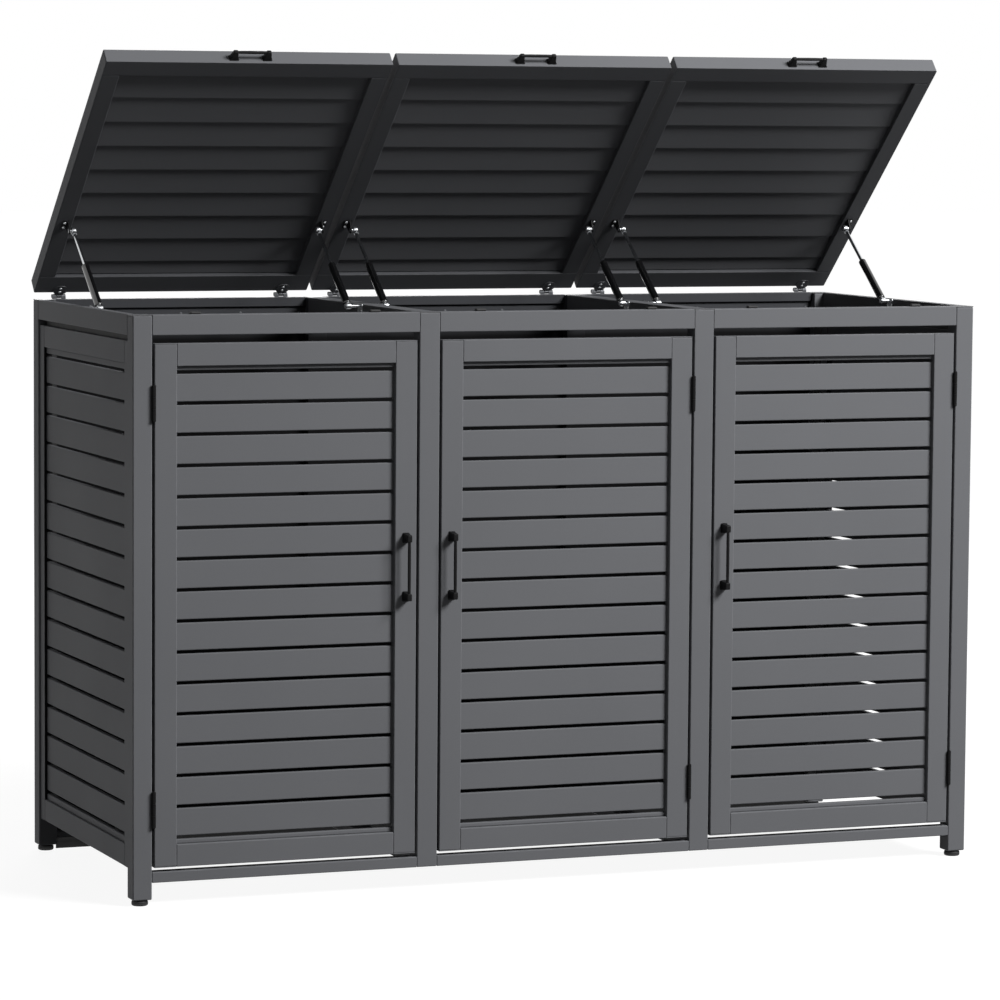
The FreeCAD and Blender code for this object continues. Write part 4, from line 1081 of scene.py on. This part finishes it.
screwLook = dict(head=3.6 * mm, rise=1.5 * mm, socket=1.5 * mm, seed=7)
sideScrews = dict(rows=5, margin=120 * mm, upright=900 * mm)
for low, high in solidBoxes("side_frames"):
    if high.z - low.z > sideScrews["upright"]:
        inner = high.x if low.x < 0 else low.x
        for k in range(sideScrews["rows"]):
            share = k / (sideScrews["rows"] - 1)
            z = low.z + sideScrews["margin"] + (high.z - low.z - 2 * sideScrews["margin"]) * share
            fasten("cabinet", (inner, (low.y + high.y) / 2, z), (1 if low.x < 0 else -1, 0, 0))
for body, spots in screws.items():
    shell = Shell()
    shell.takeMesh(socketScrews.run({
        "Head": screwLook["head"], "Rise": screwLook["rise"], "Socket": screwLook["socket"],
        "Seed": screwLook["seed"], "Finish": zincSteel}, spots))
    settle(body + "_screws", shell, [zincSteel], body)
print("screws:", sum(len(spots) for spots in screws.values()))


# floor, light and camera

studio = dict(world=0.058, floorSize=60.0, floorTone="6a6a6a", floorGrain="747474", near=0.92, nearReach=1.5,
              fade=0.6)
lamps = dict(keyLight=dict(place=(4.6, -5.6, 5.9), aim=(0.0, 0.0, 0.8), size=(3.6, 2.6), power=1190.0),
             leftFill=dict(place=(-6.0, -1.5, 1.6), aim=(-1.0, 0.0, 0.8), size=(2.0, 2.0), power=6.0),
             backLight=dict(place=(1.2, 6.6, 3.4), aim=(0.0, 0.4, 0.7), size=(3.0, 2.0), power=230.0))
shot = dict(place=(-3.75007, -9.52962, 1.75434), yaw=21.4498, tilt=5.1062, roll=0.4280, lens=157.20, sensor=36.0)

bm = bmesh.new()
bmesh.ops.create_grid(bm, x_segments=1, y_segments=1, size=studio["floorSize"])
floorMesh = bpy.data.meshes.new("floor")
bm.to_mesh(floorMesh)
bm.free()
floor = bpy.data.objects.new("floor", floorMesh)
scene.collection.objects.link(floor)
paper = Finish("floorPaper")
grain = paper.noise(3.0, 3.0)
matt = paper.node("ShaderNodeBsdfDiffuse", sockets={
    "Color": paper.mix(grain * 0.1, tint(studio["floorTone"]), tint(studio["floorGrain"]))})
# white to the eye, a little under it near the object so that its shadow stays
away = paper.node("ShaderNodeVectorMath", {"operation": "LENGTH"}, {"Vector": paper.spot}, "Value")
far = ((away - studio["nearReach"]) * studio["fade"]).clamped()
level = studio["near"] + far * (1.0 - studio["near"])
shown = paper.mix(paper.seenRays() * level, (0, 0, 0, 1), (1, 1, 1, 1))
white = paper.node("ShaderNodeEmission", sockets={"Color": shown})
both = paper.node("ShaderNodeAddShader", sockets={"Shader": matt, "Shader_001": white})
paper.node("ShaderNodeOutputMaterial", sockets={"Surface": both})
floorMesh.materials.append(paper.material)

world = bpy.data.worlds.new("studio")
scene.world = world
world.use_nodes = True
sky = Nodes(world.node_tree)
sky.tree.nodes.clear()
seen = sky.seenRays()
level = seen + (1 - seen) * studio["world"]
backdrop = sky.node("ShaderNodeBackground", sockets={"Color": (1, 1, 1, 1), "Strength": level})
sky.node("ShaderNodeOutputWorld", sockets={"Surface": backdrop})


def softBox(name, place, aim, size, power):
    lamp = bpy.data.lights.new(name, "AREA")
    lamp.shape = "RECTANGLE"
    lamp.size, lamp.size_y = size
    lamp.energy = power
    box = bpy.data.objects.new(name, lamp)
    box.location = place
    box.rotation_euler = (Vector(aim) - Vector(place)).to_track_quat("-Z", "Y").to_euler()
    scene.collection.objects.link(box)


for name, look in lamps.items():
    softBox(name, **look)

# the camera looks along its yaw and tilt, then rolls about that line
yaw, tilt, roll = (math.radians(shot[key]) for key in ("yaw", "tilt", "roll"))
ahead = Vector((math.sin(yaw) * math.cos(tilt), math.cos(yaw) * math.cos(tilt), -math.sin(tilt)))
aside = Vector((math.cos(yaw), -math.sin(yaw), 0))
above = aside.cross(ahead)
rightWay = aside * math.cos(roll) + above * math.sin(roll)
upWay = above * math.cos(roll) - aside * math.sin(roll)
camera = bpy.data.objects.new("camera", bpy.data.cameras.new("camera"))
camera.data.lens = shot["lens"]
camera.data.sensor_width = shot["sensor"]
turned = Matrix((rightWay, upWay, -ahead)).transposed().to_4x4()
camera.matrix_world = Matrix.Translation(shot["place"]) @ turned
scene.collection.objects.link(camera)
scene.camera = camera
scene.view_settings.view_transform = "Standard"
print("studio: floor, lights, camera")
